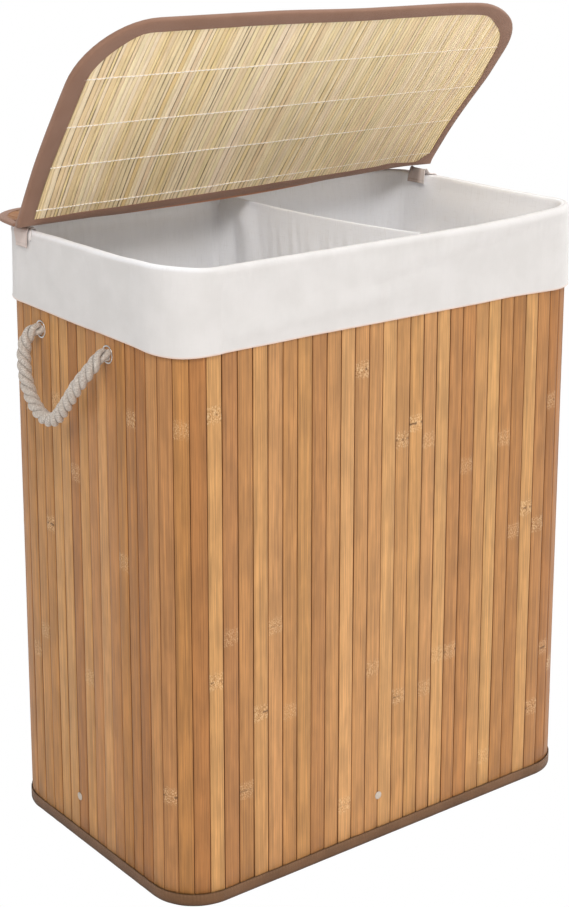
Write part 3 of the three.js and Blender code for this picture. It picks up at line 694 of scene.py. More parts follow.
def liner_wrap():
    """The cuff, the rim and the walls of the bins as one sheet of cloth."""
    t = np.linspace(0, ROUND, 960, endpoint=False)
    rows = []

    def row(inset, height, inside=0.0, edge=0.0):
        rows.append([np.broadcast_to(value, t.shape) for value in (inset, height, inside, edge)])

    outer = HALF_DEPTH + cuff_low.y + 0.55 * MM
    hem = HEM + 0.3 * MM + 0.42 * MM * smooth_noise(t / ROUND * 3, 21, 4) + HEM_RISE(t)
    top = RIM - 0.3 * MM + 0.3 * MM * smooth_noise(t / ROUND * 12, 41, 6) + RIM_RISE(t)
    # Painted highlight: share of the lighter inner tone on the rim's outer roll and slope, most on the left side.
    painted_rim_light = 0.12 + 0.88 * np.clip(-outline(t)[1][:, 0], 0, 1)

    def cuff_out(height):
        share = np.clip((RIM - height) / (RIM - HEM), 0, 1)
        puff = 0.9 * MM * (fold_field(t, height, 31, 5, (6, 18), 4.0) - 0.35)
        fine = 0.22 * MM * (fold_field(t, height, 32, 5, (50, 110), 9.0) - 0.35)
        flare = 0.9 * MM * share ** 2 * (1 + smooth_noise(t / ROUND * 4, 33, 4))
        gather = 0.4 * MM * fold_field(t, height, 34, 6, (110, 220), 3.0) * peak(share - 0.14, 0.13)
        swell = creased(t, height + 0 * t) + 0.9 * MM * peak(share - 0.05, 0.06)
        inset = outer - (puff + fine) * np.minimum(1, 0.25 + share * 1.4) - flare + gather - swell
        return np.minimum(inset, -1.62 * MM)

    for back, up in ((0.95, 12), (0.95, 8), (1.0, 4), (0.95, 1.4)):
        row(outer + back * MM, hem + up * MM)
    # The hem's fold takes the pinkish trim tone: painted highlight.
    for back, up, edge in ((0.75, 0.25, 0.6), (0.3, 0.05, 1), (-0.2, 0.6, 1), (-0.2, 1.2, 0.5)):
        row(cuff_out(HEM) + back * MM, hem + up * MM, 0, edge)
    for up in (2.2, 4, 7):
        row(cuff_out(hem + up * MM) - 0.1 * MM, hem + up * MM)
    shoulder = top - 6 * MM
    for share in np.linspace(0.12, 1, 26):
        height = hem + (shoulder - hem) * share
        row(cuff_out(height), height)
    # Over the rim: the outer roll, a shallow slope and the inner roll. The cloth comes down
    # 4.2 mm nearer the wall than at the wire frame, but not under the right strap.
    inner = LINER + 0.5 * MM
    lean = 4.2 * MM * (1 - peak(round_gap(t, place_round(HALF_WIDTH, 94 * MM)), 0.024, 4))
    face, crest = cuff_out(shoulder), outer + 4.6 * MM
    for angle in np.linspace(0, math.pi / 2, 9)[1:]:
        row(face + (crest - face) * (1 - math.cos(angle)), shoulder + 6 * MM * math.sin(angle),
            painted_rim_light * ease(math.sin(angle), 0.3, 0.85))
    for share in (0.3, 0.65, 0.95):
        row(crest + (inner - lean - crest - 3 * MM) * share, top - 0.5 * MM * share, painted_rim_light + (1 - painted_rim_light) * share)
    for angle in np.linspace(math.pi / 2, 0, 7):
        row(inner - lean - 3 * MM * (1 - math.cos(angle)), top - 5.5 * MM + 5 * MM * math.sin(angle), 1)
    for height in [*np.linspace(RIM - 9 * MM, RIM - 30 * MM, 8), *np.linspace(RIM - 34 * MM, FLOOR + 22 * MM, 92)]:
        row(inner - lean * (1 - ease(RIM - height, 4 * MM, 32 * MM)) + inner_push(t, height), height, 1)
    push = inner_push(t, FLOOR)
    for angle in np.linspace(0, math.pi / 2, 6)[1:]:
        row(inner + push + 20 * MM * (1 - math.cos(angle)), FLOOR + 21.2 * MM - 20 * MM * math.sin(angle), 1)
    inset, height, inside, edge = (np.stack([r[k] for r in rows]) for k in range(4))
    points = np.stack([ring(t, *r[:2]) for r in rows])
    # Painted shade: on the left half the lighter inner tone is cut back from the rim down to 45 to 90 mm below it.
    shade = (1 - ease(points[..., 0], -0.04, 0.03)) * ease(inset, inner - 4 * MM, inner)
    inside = inside * (1 - 0.6 * shade * (1 - ease(RIM - height, 45 * MM, 90 * MM)))
    girth = so_far(np.linalg.norm(np.diff(points, axis=0), axis=-1).mean(1))
    faces = grid_faces(len(rows), len(t), close_columns=True)
    made = new_cloth("liner_wrap", points, faces, COTTON, t, girth[:, None], inside, edge)
    thicken(made, 0.8 * MM)
    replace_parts(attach(made, "body"), "liner_cuff", "liner_left_wall", "liner_right_wall")


def divider_sheet():
    """The cloth between the bins, hemmed at its top and loose below it."""
    y = np.linspace(-(HALF_DEPTH - LINER - 0.8 * MM), HALF_DEPTH - LINER - 0.8 * MM, 210)
    top = DIVIDER_TOP - 0.6 * MM - 3.5 * MM * (1 - (y / y[-1]) ** 2)
    held = 1 - np.abs(y / y[-1]) ** 8
    along, back = y / 0.3, y[-1] - y

    def belly(z):
        drop = np.clip(top - z, 0, None)
        tied = -6 * MM * peak(back, 16 * MM) * ease(drop, 1 * MM, 22 * MM)
        ridge = -7.5 * MM * peak(back - 40 * MM - 0.12 * drop, 15 * MM) * ease(drop, 2 * MM, 22 * MM)
        hollow = 1.5 * MM * peak(back - 20 * MM, 11 * MM) * ease(drop, 4 * MM, 26 * MM)
        soft = 3.4 * MM * smooth_noise(along + drop * 0.8, 61, 4, 0.8, 2.6) * ease(drop, 6 * MM, 70 * MM)
        sharp = np.abs(smooth_noise(along * 3 + drop * 2.2, 62, 5, 0.8, 3.0)) ** 0.8
        crease = 2.4 * MM * (sharp - 0.35) * ease(drop, 8 * MM, 45 * MM)
        fine = 0.8 * MM * smooth_noise(along * 9 + drop * 3, 64, 6, 0.8, 3.0) * ease(drop, 6 * MM, 30 * MM)
        hang = 2.0 * MM * smooth_noise(drop / 0.35 + y * 3, 63, 3, 0.5, 1.5) * ease(drop, 20 * MM, 140 * MM)
        return tied + ridge + hollow + (soft + crease + fine + hang) * held

    # Rows down the hem's back, over its edge and down the front, then down the sheet
    rows = [(top - down * MM, 0.75 * MM) for down in (5, 4, 2, 1.2)]
    for angle in np.linspace(0, math.pi, 7)[1:-1]:
        rows.append((top - 0.9 * MM + 0.9 * MM * math.sin(angle), 0.8 * MM * math.cos(angle)))
    rows += [(top - down * MM, -side * MM) for down, side in ((1.2, 0.75), (2, 0.75), (4, 0.7), (5.5, 0.6), (7, 0.5))]
    for share in np.linspace(0.02, 1, 100):
        rows.append((top - 7 * MM - (top - 7 * MM - FLOOR - 1.2 * MM) * share, -0.5 * MM))
    points = np.stack([np.stack([divider_x(y) + side + belly(z), y, z], -1) for z, side in rows])
    girth = so_far(np.linalg.norm(np.diff(points, axis=0), axis=-1).mean(1))
    faces = grid_faces(len(rows), len(y))
    # The whole divider takes the lighter inner tone: painted light.
    made = new_cloth("liner_divider_cloth", points, faces, COTTON, y, girth[:, None], 1)
    thicken(made, 0.7 * MM)
    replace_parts(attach(made, "body"), "liner_divider")


def floor_sheets():
    """The bins' floors: cloth laid on the board, with slack wrinkles."""
    rows, columns = 70, 90
    a, down = np.linspace(0, 1, columns), np.linspace(0, 1, rows)
    slack = np.sin(np.pi * a)[None, :] * np.sin(np.pi * down)[:, None]
    for name, sign in (("left", -1), ("right", 1)):
        node = f"liner_{name}_floor"
        low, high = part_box(node)
        y = np.linspace(low.y + 1 * MM, high.y - 1 * MM, rows)
        edge = divider_x(y) + sign * 1.4 * MM
        nook = np.clip(np.abs(y) - (HALF_DEPTH - CORNER), 0, None)
        room = CORNER - LINER - 3 * MM
        cut = room - np.sqrt(np.clip(room ** 2 - nook ** 2, 0, None))
        far = sign * (max(abs(low.x), abs(high.x)) - 1 * MM - cut)
        x = edge[:, None] + (far - edge)[:, None] * a[None, :]
        y = np.broadcast_to(y[:, None], x.shape)
        waves = smooth_noise(x / 0.2 + y * 2, 71, 5) + smooth_noise(y / 0.15 - x * 3, 72, 5)
        points = np.stack([x, y, FLOOR + 1.3 * MM * slack * waves.clip(-0.4, 3)], -1)
        # The floors take the lighter inner tone: painted light.
        made = new_cloth(f"liner_{name}_floor_cloth", points, grid_faces(rows, columns), COTTON, x, y, 1)
        thicken(made, 0.7 * MM)
        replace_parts(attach(made, "body"), node)


# Lid and flap, in the fold's own frame: the zero is the fold's axis and +Y the rear

LID_TURN = np.array(Matrix.Rotation(-LID_OPEN, 3, "X"))
flap_low, flap_high = (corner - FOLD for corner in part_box("flap_binding"))
HALF_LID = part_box("flap_binding")[1].x
UNDERSIDE, TOPSIDE = flap_low.z, flap_high.z
FOLD_GAP = flap_low.y
TAPE_WIDTH = 20 * MM
TAPE_AT_FOLD = 11 * MM
# In metres: length and corner radius. In millimetres: bow, and how far each corner (at the
# fold, then at the far edge, left and right) is pulled in and lifted; how far the left part
# droops, the right part slants, rises and is drawn in, and the far edge is cut back.
PANELS = {
    "lid": dict(turn=-1, length=258 * MM, radius=74 * MM, body="lid", bow=3.5, pull=((2, 8), (4.5, 4)),
                lift=((0, 4.4), (4.5, 3)), droop=2.9, slant=3.0, thin=(0, 0.45, 0.09), rise=0,
                cinch=7.4, tuck=3.4, trim=3.6),
    "flap": dict(turn=1, length=flap_high.y, radius=54 * MM, body="body", bow=0, pull=((2, 8), (1, 4)),
                 lift=((0, 2.4), (0, 0)), droop=0.8, slant=2.0, thin=(0.4, 0.8, 0.5), rise=4.6,
                 cinch=0, tuck=0, trim=0),
}


def corners(values, u, v):
    """Blends four corner values over the panel."""
    (near_left, near_right), (far_left, far_right) = values
    return (near_left * (1 - u) + near_right * u) * (1 - v) + (far_left * (1 - u) + far_right * u) * v


def settle(points, panel):
    """Bends a panel from its true shape to how it hangs: narrower, bowed, twisted, thinner at its ends."""
    x, y, z = np.moveaxis(np.array(points, float), -1, 0)
    u, v = 0.5 + x / (2 * HALF_LID), np.abs(y) / panel["length"]
    left, right = 1 - ease(u, 0.15, 0.6), ease(u, 0.42, 0.85)
    pull = corners(panel["pull"], u, v) + panel["bow"] * np.sin(np.pi * np.clip(v, 0, 1)) * np.clip(1 - u, 0, 1) ** 2
    pull = pull + panel["cinch"] * ease(u, 0.6, 1.0) * np.sin(np.pi * np.clip(v / 0.56, 0, 1) ** 0.75)
    lift = corners(panel["lift"], u, v) - panel["droop"] * left * (1 - ease(v, 0.0, 0.35))
    lift = lift + panel["rise"] * ease(u, 0.56, 0.95) * (1 - ease(v, 0.1, 0.9))
    slant = panel["slant"] * right * (1 - ease(v, 0.0, 0.8))
    slant = slant + panel["tuck"] * peak(u - 0.92, 0.09) * (1 - ease(v, 0.0, 0.3))
    cut = ease(u, 0.35, 0.6) * ease(v, 0.6, 1.0) + 1.2 * peak(u - 0.93, 0.08) * ease(v, 0.78, 0.98)
    slant = slant - panel["trim"] * cut
    end, near, reach = panel["thin"]
    thin = end * (1 - ease(u, 0.04, 0.25)) + near * right * peak(v, reach)
    z = z + (TOPSIDE - z) * thin
    return np.stack([x - pull * MM, y + panel["turn"] * slant * MM, z + lift * MM], -1)


def place_panel(points, panel):
    """Moves points from the fold's frame to where the lid or the flap is at rest."""
    points = settle(points, panel)
    if panel["body"] == "lid":
        points = points @ LID_TURN.T
    return points + np.array(FOLD)


def panel_far(panel, x, inset):
    """How far from the fold the panel's edge is at x, moved in by inset."""
    half, length, radius = HALF_LID - inset, panel["length"] - inset, panel["radius"] - inset
    over = np.clip(np.abs(x) - (half - radius), 0, radius)
    return length - radius + np.sqrt(np.clip(radius ** 2 - over ** 2, 0, None))


def panel_loop(panel, inset, fold_inset):
    """The panel's outline in order, moved in from its edge and from the fold."""
    half, near = HALF_LID - inset, FOLD_GAP + fold_inset
    far, radius = panel["length"] - inset, panel["radius"] - inset
    turn = np.linspace(0, math.pi / 2, 14)[1:-1]
    right = [(half, side) for side in np.linspace(near, far - radius, 26)]
    right += [(half - radius + radius * math.cos(a), far - radius + radius * math.sin(a)) for a in turn]
    top = [(x, far) for x in np.linspace(half - radius, radius - half, 46)]
    base = [(x, near) for x in np.linspace(-half, half, 60)[1:-1]]
    loop = np.array(right + top + [(-x, y) for x, y in right[::-1]] + base)
    return loop * [1, panel["turn"]]


def left_share(v):
    """How much of the binding's width shows on the lid's left edge."""
    return 0.82 + 0.12 * ease(v, 0.1, 0.6)


def right_share(v):
    """How much of the binding's width shows on the lid's right edge."""
    return 0.5 + 0.42 * ease(v, 0.42, 1.0)


def binding_share(panel, loop, top):
    """How much of its full width the binding takes at points of the panel's outline."""
    if panel["body"] == "body":
        return np.full(len(loop), 0.45 if top else 0.9)
    x, v = loop[:, 0], np.abs(loop[:, 1]) / panel["length"]
    right, left = (ease(sign * x, HALF_LID - 60 * MM, HALF_LID - 20 * MM) for sign in (1, -1))
    far = ease(v, 0.8, 0.97)
    share = (0.97 - 0.17 * ease(x, -0.1, 0.24)) * (1 - far) + (0.66 + 0.06 * ease(-x, -0.12, 0.12)) * far
    share = share + 0.22 * ease(x, HALF_LID - 80 * MM, HALF_LID - 40 * MM) * (v < 0.05)
    share = share * (1 - right) + right * right_share(v)
    share = share + 0.5 * peak(np.hypot(HALF_LID - x, v * panel["length"]), 10 * MM)
    return share * (1 - left) + left * left_share(v)


def panel_binding(name, panel):
    """Binding tape folded round the panel's edge, with soft turned-in rims."""
    low, high = UNDERSIDE, TOPSIDE
    # Share of the tape's width from the edge, and depth into the panel in millimetres: first
    # down the underside, then back along the same places on the upper side
    half = [(1.0, 0.95), (1.0, 0.35), (0.975, 0.12), (0.93, 0.1), (0.9, 0.28), (0.86, 0.06), (0.6, -0.12),
            (0.3, -0.1), (0.1, 0.1), (0.035, 0.7), (0.0, 1.7)]
    section = [(share, low + deep * MM) for share, deep in half]
    section += [(share, high - deep * MM) for share, deep in half[::-1] + [(0.5, 1.0), (0.06, 0.9)]]
    section += [(share, low + deep * MM) for share, deep in ((0.06, 0.9), (0.5, 1.0))]
    rim, inside = panel_loop(panel, 0, 0), panel_loop(panel, TAPE_WIDTH, TAPE_AT_FOLD)
    count = len(rim)
    run = np.arange(count) / count
    waves, jitter = smooth_noise(run * 20, 81, 6), smooth_noise(run * 14, 82, 6)
    centre = np.array([0, panel["turn"] * panel["length"] / 2])
    loops = []
    for share, height in section:
        top = height > (low + high) / 2
        loop = rim + (inside - rim) * (share * binding_share(panel, rim, top))[:, None]
        inward = (centre - loop) / np.linalg.norm(centre - loop, axis=1)[:, None]
        loop = loop + inward * (0.5 * MM * jitter * share)[:, None]
        ripple = 0.14 * MM * waves * (1 if share > 0.2 else 0.4) * (1 if top else -1)
        loops.append(np.concatenate([loop, (height + ripple)[:, None]], -1))
    points = np.stack(loops)
    faces = grid_faces(len(section), count, close_rows=True, close_columns=True)
    if panel["turn"] < 0:
        faces = [f[::-1] for f in faces]
    run = so_far(np.linalg.norm(np.roll(points[10], -1, axis=0) - points[10], axis=1))[:-1]
    girth = np.array([[share * TAPE_WIDTH] for share, _ in section])
    # A copper painted highlight low on the front of the flap's fold
    front = [[1 - ease(height - low, 0.8 * MM, 2.6 * MM) if share <= 0.1 else 0.0] for share, height in section]
    painted_glow = np.array(front) * (np.abs(rim[:, 1]) < FOLD_GAP + 1 * MM) * (name == "flap")
    painted_glow = painted_glow * ease(rim[:, 0], -0.17, -0.1) * (1 - ease(rim[:, 0], 0.08, 0.15))
    points = place_panel(points, panel)
    made = new_cloth(f"{name}_binding_cloth", points, faces, BINDING, run, girth, 0, painted_glow)
    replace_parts(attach(made, panel["body"]), f"{name}_binding")


def panel_slats(name, panel):
    """The bamboo slats of the panel's upper face."""
    margin = 1.1 * MM
    width = 2 * (HALF_LID - margin)
    count = round(width / SLAT_PITCH)
    builder = Builder()
    for k in range(count):
        x = width * ((k + 0.5) / count - 0.5)
        seed = 4000 + 13 * k + (500 if name == "flap" else 0)
        knots = knots_for(np.random.default_rng(seed), 0.02, panel["length"] * 0.9)
        # The flap's slats are given the dark edge tone all over: painted shadow from the lid.
        plank(builder, [x, 0, TOPSIDE - margin], [1, 0, 0], [0, 0, 1], [0, panel["turn"], 0], width / count,
              FOLD_GAP + margin, lambda u: panel_far(panel, x + u, margin), seed, knots, 2 * MM,
              painted_shadow=0.6 if name == "flap" else 0.0)
    builder.points = [place_panel(points, panel) for points in builder.points]
    made = builder.build(f"{name}_planks", BAMBOO)
    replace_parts(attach(made, panel["body"]), f"{name}_slats")


def panel_straw(name, panel):
    """Stitched straw strips under the panel, with the threads that hold them."""
    local = np.random.default_rng(90 + len(name))
    half_width = HALF_LID - 1.3 * MM
    low, turn, length = UNDERSIDE + 0.75 * MM, panel["turn"], panel["length"]
    x = -half_width
    places = []  # middle, width and the gap after each strip, the gap in millimetres
    while x < half_width - 1.5 * MM:
        finer = float(ease(x, -0.05, 0.2))
        w = min(local.uniform(3.4 - 1.0 * finer, 6.2 - 1.9 * finer) * MM, half_width - x)
        gap = local.uniform(0.07, 0.18) * (1 - 0.4 * finer) if local.uniform(0, 1) < 0.5 else 0.0
        places.append((x + w / 2, w, gap))
        x += w
    strips = Builder()
    before, phase = 0.0, (0, 0)
    rows = np.linspace(0, 1, 40)
    shares = np.linspace(-1, 1, 9)
    across = np.array([*shares, 0.97, -0.97])
    height = np.array([*(-0.75 * MM * (1 - np.abs(shares) ** 2.6) ** 0.6), 0.65 * MM, 0.65 * MM])
    start = FOLD_GAP + 1.6 * MM
    for middle, w, after in places:
        next_phase = local.integers(1 << 30)
        sway = 0.16 * MM * smooth_noise(rows, local.integers(1 << 30), 4, 0.8, 3.5)
        lift = 0.12 * MM * smooth_noise(rows, local.integers(1 << 30), 4, 0.8, 3.0) + local.uniform(-0.12, 0.12) * MM
        opened = [gap * (0.35 + 0.65 * ease(smooth_noise(rows, seed, 5, 1.0, 5.0), -0.5, 0.4))
                  for gap, seed in ((before, phase), (after, next_phase))]
        near_edge, far_edge = -w / 2 + (opened[0] + 0.04) * MM, w / 2 - (opened[1] + 0.04) * MM
        half, centre = (far_edge - near_edge) / 2, (far_edge + near_edge) / 2
        u = middle + centre[:, None] + half[:, None] * across[None, :] + sway[:, None]
        ends = panel_far(panel, middle + w / 2 * across, 1.6 * MM)
        v = start + rows[:, None] * (ends - start)[None, :]
        h = low + 0.9 * MM + height[None, :] + lift[:, None]
        # Painted shade: strip edges at open gaps are darkened, and a dark line is painted along the binding's inner
        # edge on the left as its shadow.
        rim = np.zeros(v.shape)
        for wide, side, beside in ((opened[0], 0, 1), (opened[1], 8, 7)):
            rim[:, side], rim[:, beside] = np.minimum(1, 0.22 + 3.6 * wide), 0.9 * wide
        rim[:, 9:] = 1
        binding = HALF_LID - TAPE_WIDTH * left_share(v / length)
        rim = np.maximum(rim, 0.95 * peak(u + binding - 0.5 * MM, 0.9 * MM))
        points, faces = loft(np.stack([u, turn * v, h], -1))
        if turn > 0:
            faces = [f[::-1] for f in faces]
        before, phase = after, next_phase
        shift = local.uniform(-3, 3, 2)
        # Painted light: strips near the middle of the panel get a lighter tone.
        light, warm = local.normal(0.62 + 0.2 * peak(middle + 0.02, 0.1), 0.26), local.normal(0.45, 0.3)
        strips.add(place_panel(points, panel), faces, grain=spread(v.shape, u - middle + shift[0], h, v + shift[1]),
                   tone=spread(v.shape, np.clip(light, 0, 1), np.clip(warm, 0, 1), rim))
    made = strips.build(f"{name}_straw_strips", STRAW)
    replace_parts(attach(made, panel["body"]), f"{name}_straw_mat")
    threads = Builder()
    seams = np.array([middle - w / 2 for middle, w, _ in places])
    angles = np.linspace(0, TAU, 7)[:-1]
    spoke = np.stack([0 * angles, np.cos(angles), np.sin(angles)], -1)
    for line in (21.5, 77.5, 130, 190) if name == "lid" else (24, 48):
        line *= MM
        right = TAPE_WIDTH * float(right_share(line / length)) - 1.5 * MM
        xs = np.arange(-HALF_LID + 15.5 * MM, HALF_LID - right, 0.5 * MM)
        near = np.min(np.abs(xs[:, None] - seams[None, :]), axis=1)
        height = low - 0.02 * MM + 1.3 * MM * (1 - ease(near, 0.2 * MM, 0.9 * MM))
        wander = 0.45 * MM * smooth_noise(xs / 0.12, int(line * 1e4) + 1, 4)
        centre = np.stack([xs, turn * (line + wander), height], -1)
        thick = (0.62 - 0.2 * ease(xs, -0.1, 0.2)) * MM
        points, faces = loft(centre[:, None, :] + thick[:, None, None] * spoke)
        threads.add(place_panel(points, panel), faces)
    made = threads.build(f"{name}_straw_threads", THREAD)
    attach(made, panel["body"])


def fold_cloth():
    """The cloth hinge over the fold, bent between the lid and the flap."""
    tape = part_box("flap_fold_tape")[1]
    half, reach = tape.x, tape.y - FOLD.y
    x = np.linspace(-half, half, 160)
    s = np.linspace(-1, 1, 33)
    roll = peak(s, 0.22)
    waves = smooth_noise(x / 0.16, 95, 5)
    rows = []
    for share, bulge in zip(s, roll):
        weight = float(ease(-share, -0.10, 0.10))
        turn = LID_OPEN * weight
        sink = -0.25 * MM - bulge * (0.9 + 0.35 * waves) * MM
        spot = np.stack([x, 0 * x + share * reach, 0 * x], -1)
        lid, flap = (settle(spot, PANELS[name]) - spot for name in ("lid", "flap"))
        moved = lid @ LID_TURN.T * weight + flap * (1 - weight)
        along = share * reach
        y = FOLD.y + along * math.cos(turn) + sink * math.sin(turn / 2)
        z = FOLD.z - along * math.sin(turn) + sink * math.cos(turn / 2)
        rows.append(np.stack([x, y, z], -1) + moved)
    points, faces = np.stack(rows), grid_faces(len(s), len(x))
    # Painted highlight: a copper tone along the fold's roll.
    along, painted_copper_highlight = (s * reach)[:, None], 0.12 * roll[:, None]
    made = new_cloth("fold_cloth", points, faces, BINDING, points[..., 0], along, 0, painted_copper_highlight)
    thicken(made, 0.5 * MM)
    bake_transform(made)
    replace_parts(made, "lid_fold_tape", "flap_fold_tape")


# Rope handles

# The loop from the rear hole to the front one: outward, along and down in millimetres
LOOP = [
    (0, 61, 0), (6, 64, 8), (10, 63, 21), (13, 57, 37), (15, 49, 51), (16, 38, 63), (17, 25, 71), (17, 12, 75),
    (17, -2, 73), (17, -14, 65), (17, -25, 54), (16, -35, 42), (14, -44, 30), (10, -51, 20), (5, -58, 9), (0, -61, 0),
]


def carried_frames(line):
    """Two directions across the line at each point, carried along without twist."""
    tangent = np.gradient(line, axis=0)
    tangent /= np.linalg.norm(tangent, axis=1)[:, None]
    side = np.cross(tangent[0], [0, 0, 1.0])
    sides = []
    for k in tangent:
        side = side - k * (side @ k)
        side /= np.linalg.norm(side)
        sides.append(side)
    return np.array(sides), np.cross(tangent, sides)


def twisted_rope(name, line, run, width, pitch, seed):
    """Three strands laid round a line. width gives the rope's diameter along it."""
    builder = Builder()
    a, b = carried_frames(line)
    strand = width * 0.262
    angle = np.linspace(0, TAU, 20, endpoint=False)
    for k in range(3):
        turn = -(TAU * run / pitch + TAU * k / 3)
        lay = a * np.cos(turn)[:, None] + b * np.sin(turn)[:, None]
        centre = line + lay * (width / 2 - strand)[:, None]
        c, d = carried_frames(centre)
        uneven = 1 + 0.04 * smooth_noise(run / 0.05, seed + k, 5)
        spoke = c[:, None, :] * np.cos(angle)[None, :, None] + d[:, None, :] * np.sin(angle)[None, :, None]
        points, faces = loft(centre[:, None, :] + spoke * (strand * uneven)[:, None, None])
        out = np.linalg.norm(points - line[:, None, :], axis=-1) / (width / 2)[:, None]
        # The third value is painted shade where the strands meet, darkest close to the rope's axis.
        weave = spread(out.shape, angle / TAU, (run + 0.4 * k)[:, None], 1 - ease(out, 0.64, 0.84))
        builder.add(points, faces, weave=weave)
    return builder.build(name, ROPE)


def rope_handles():
    """Both rope loops, blended from the wall to the swinging handle, and their knots."""
    knot_depth = HALF_WIDTH - abs(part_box("right_front_rope_knot")[0].x)
    for name, sign in (("left", -1), ("right", 1)):
        axis = Vector(joints[f"{name}_handle_swing"]["pos_m"])
        inside, outside = sign * (HALF_WIDTH - 4.5 * MM), sign * (HALF_WIDTH + 2 * MM)
        rear, front = axis.y + HOLE_STEP, axis.y - HOLE_STEP
        route = [(axis.x + sign * o * MM, axis.y + r * MM, axis.z - d * MM) for o, r, d in LOOP]
        route[0] = (axis.x - sign * 0.5 * MM, rear + 0.6 * MM, axis.z + 0.3 * MM)
        route[-1] = (axis.x - sign * 0.5 * MM, front + 0.6 * MM, axis.z - 0.8 * MM)
        rear_hole, front_hole = ([(x, y, axis.z) for x in (inside, outside)] for y in (rear, front))
        line, run = catmull(rear_hole + route + front_hole[::-1])
        from_end = np.minimum(run, run[-1] - run)
        width = 12.6 * MM + 1.6 * MM * ease(from_end, 10 * MM, 30 * MM)
        made = twisted_rope(f"{name}_rope", line, run, width, 33 * MM, 300)
        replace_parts(made, f"{name}_rope_handle")
        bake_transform(made)
        for end, y in (("front", front), ("rear", rear)):
            depth = np.linspace(3.6 * MM, knot_depth - 0.6 * MM, 26)
            share = (depth - depth[0]) / (depth[-1] - depth[0])
            line = np.stack([sign * (HALF_WIDTH - depth), np.full(26, y), np.full(26, axis.z)], -1)
            swell = 12.4 * MM + 14.5 * MM * np.sin(np.pi * np.clip(share * 1.25 - 0.18, 0, 1)) ** 0.6
            made = twisted_rope(f"{name}_{end}_knot", line, depth, swell, 21 * MM, 340)
            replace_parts(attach(made, "body"), f"{name}_{end}_rope_knot")


# Small fittings


def turned(name, node, profile, material):
    """A fitting turned about the wall's outward direction, with its zero on the wall's face.
    Its profile is (outward distance, radius) in millimetres."""
    low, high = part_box(node)
    centre = (low + high) / 2
    if abs(high.x - low.x) < abs(high.y - low.y):
        out = Vector((math.copysign(1, centre.x), 0, 0))
        centre.x = out.x * HALF_WIDTH
    else:
        out = Vector((0, math.copysign(1, centre.y), 0))
        centre.y = out.y * HALF_DEPTH
    up = np.array([0, 0, 1.0])
    angle = np.linspace(0, TAU, 40, endpoint=False)
    spoke = np.cross(up, out)[None] * np.cos(angle)[:, None] + up[None] * np.sin(angle)[:, None]
    rings = [np.array(centre + out * (o * MM)) + spoke * max(r * MM, 1e-5) for o, r in profile]
    if profile[0] == profile[-1]:
        points = np.stack(rings[:-1])
        faces = grid_faces(len(points), len(angle), close_rows=True, close_columns=True)
    else:
        points, faces = loft(rings)
    made = new_object(name, points, faces, material)
    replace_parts(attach(made, "body"), node)


def fittings():
    """Domed rivets, and eyelets rolled over both sides of the wall."""
    radius = 4.25
    rivet = [(-6.6, 3.5), (-6.0, 3.5), (-6.0, 1.6), (0.25, 1.6), (0.25, radius * 0.94)]
    rivet += [(0.25 + 0.95 * math.sin(a), radius * math.cos(a) ** 0.6) for a in np.linspace(0.1, 1.5, 9)]
    eyelet = [(0.45 + 0.4 * math.sin(a), 8.3 + 0.75 * math.cos(a)) for a in np.linspace(-0.5, math.pi, 12)]
    eyelet += [(-4.2, 7.3), (-5.0, 7.4), (-5.0, 10.4), (-4.2, 10.4), (-4.0, 8.0), (0.05, 8.0), eyelet[0]]
    for node in frame["nodes"]:
        if node.endswith("_rivet"):
            turned(f"{node}_head", node, rivet, RIVET)
        elif node.endswith("_eyelet"):
            turned(f"{node}_ring", node, eyelet, EYELET)


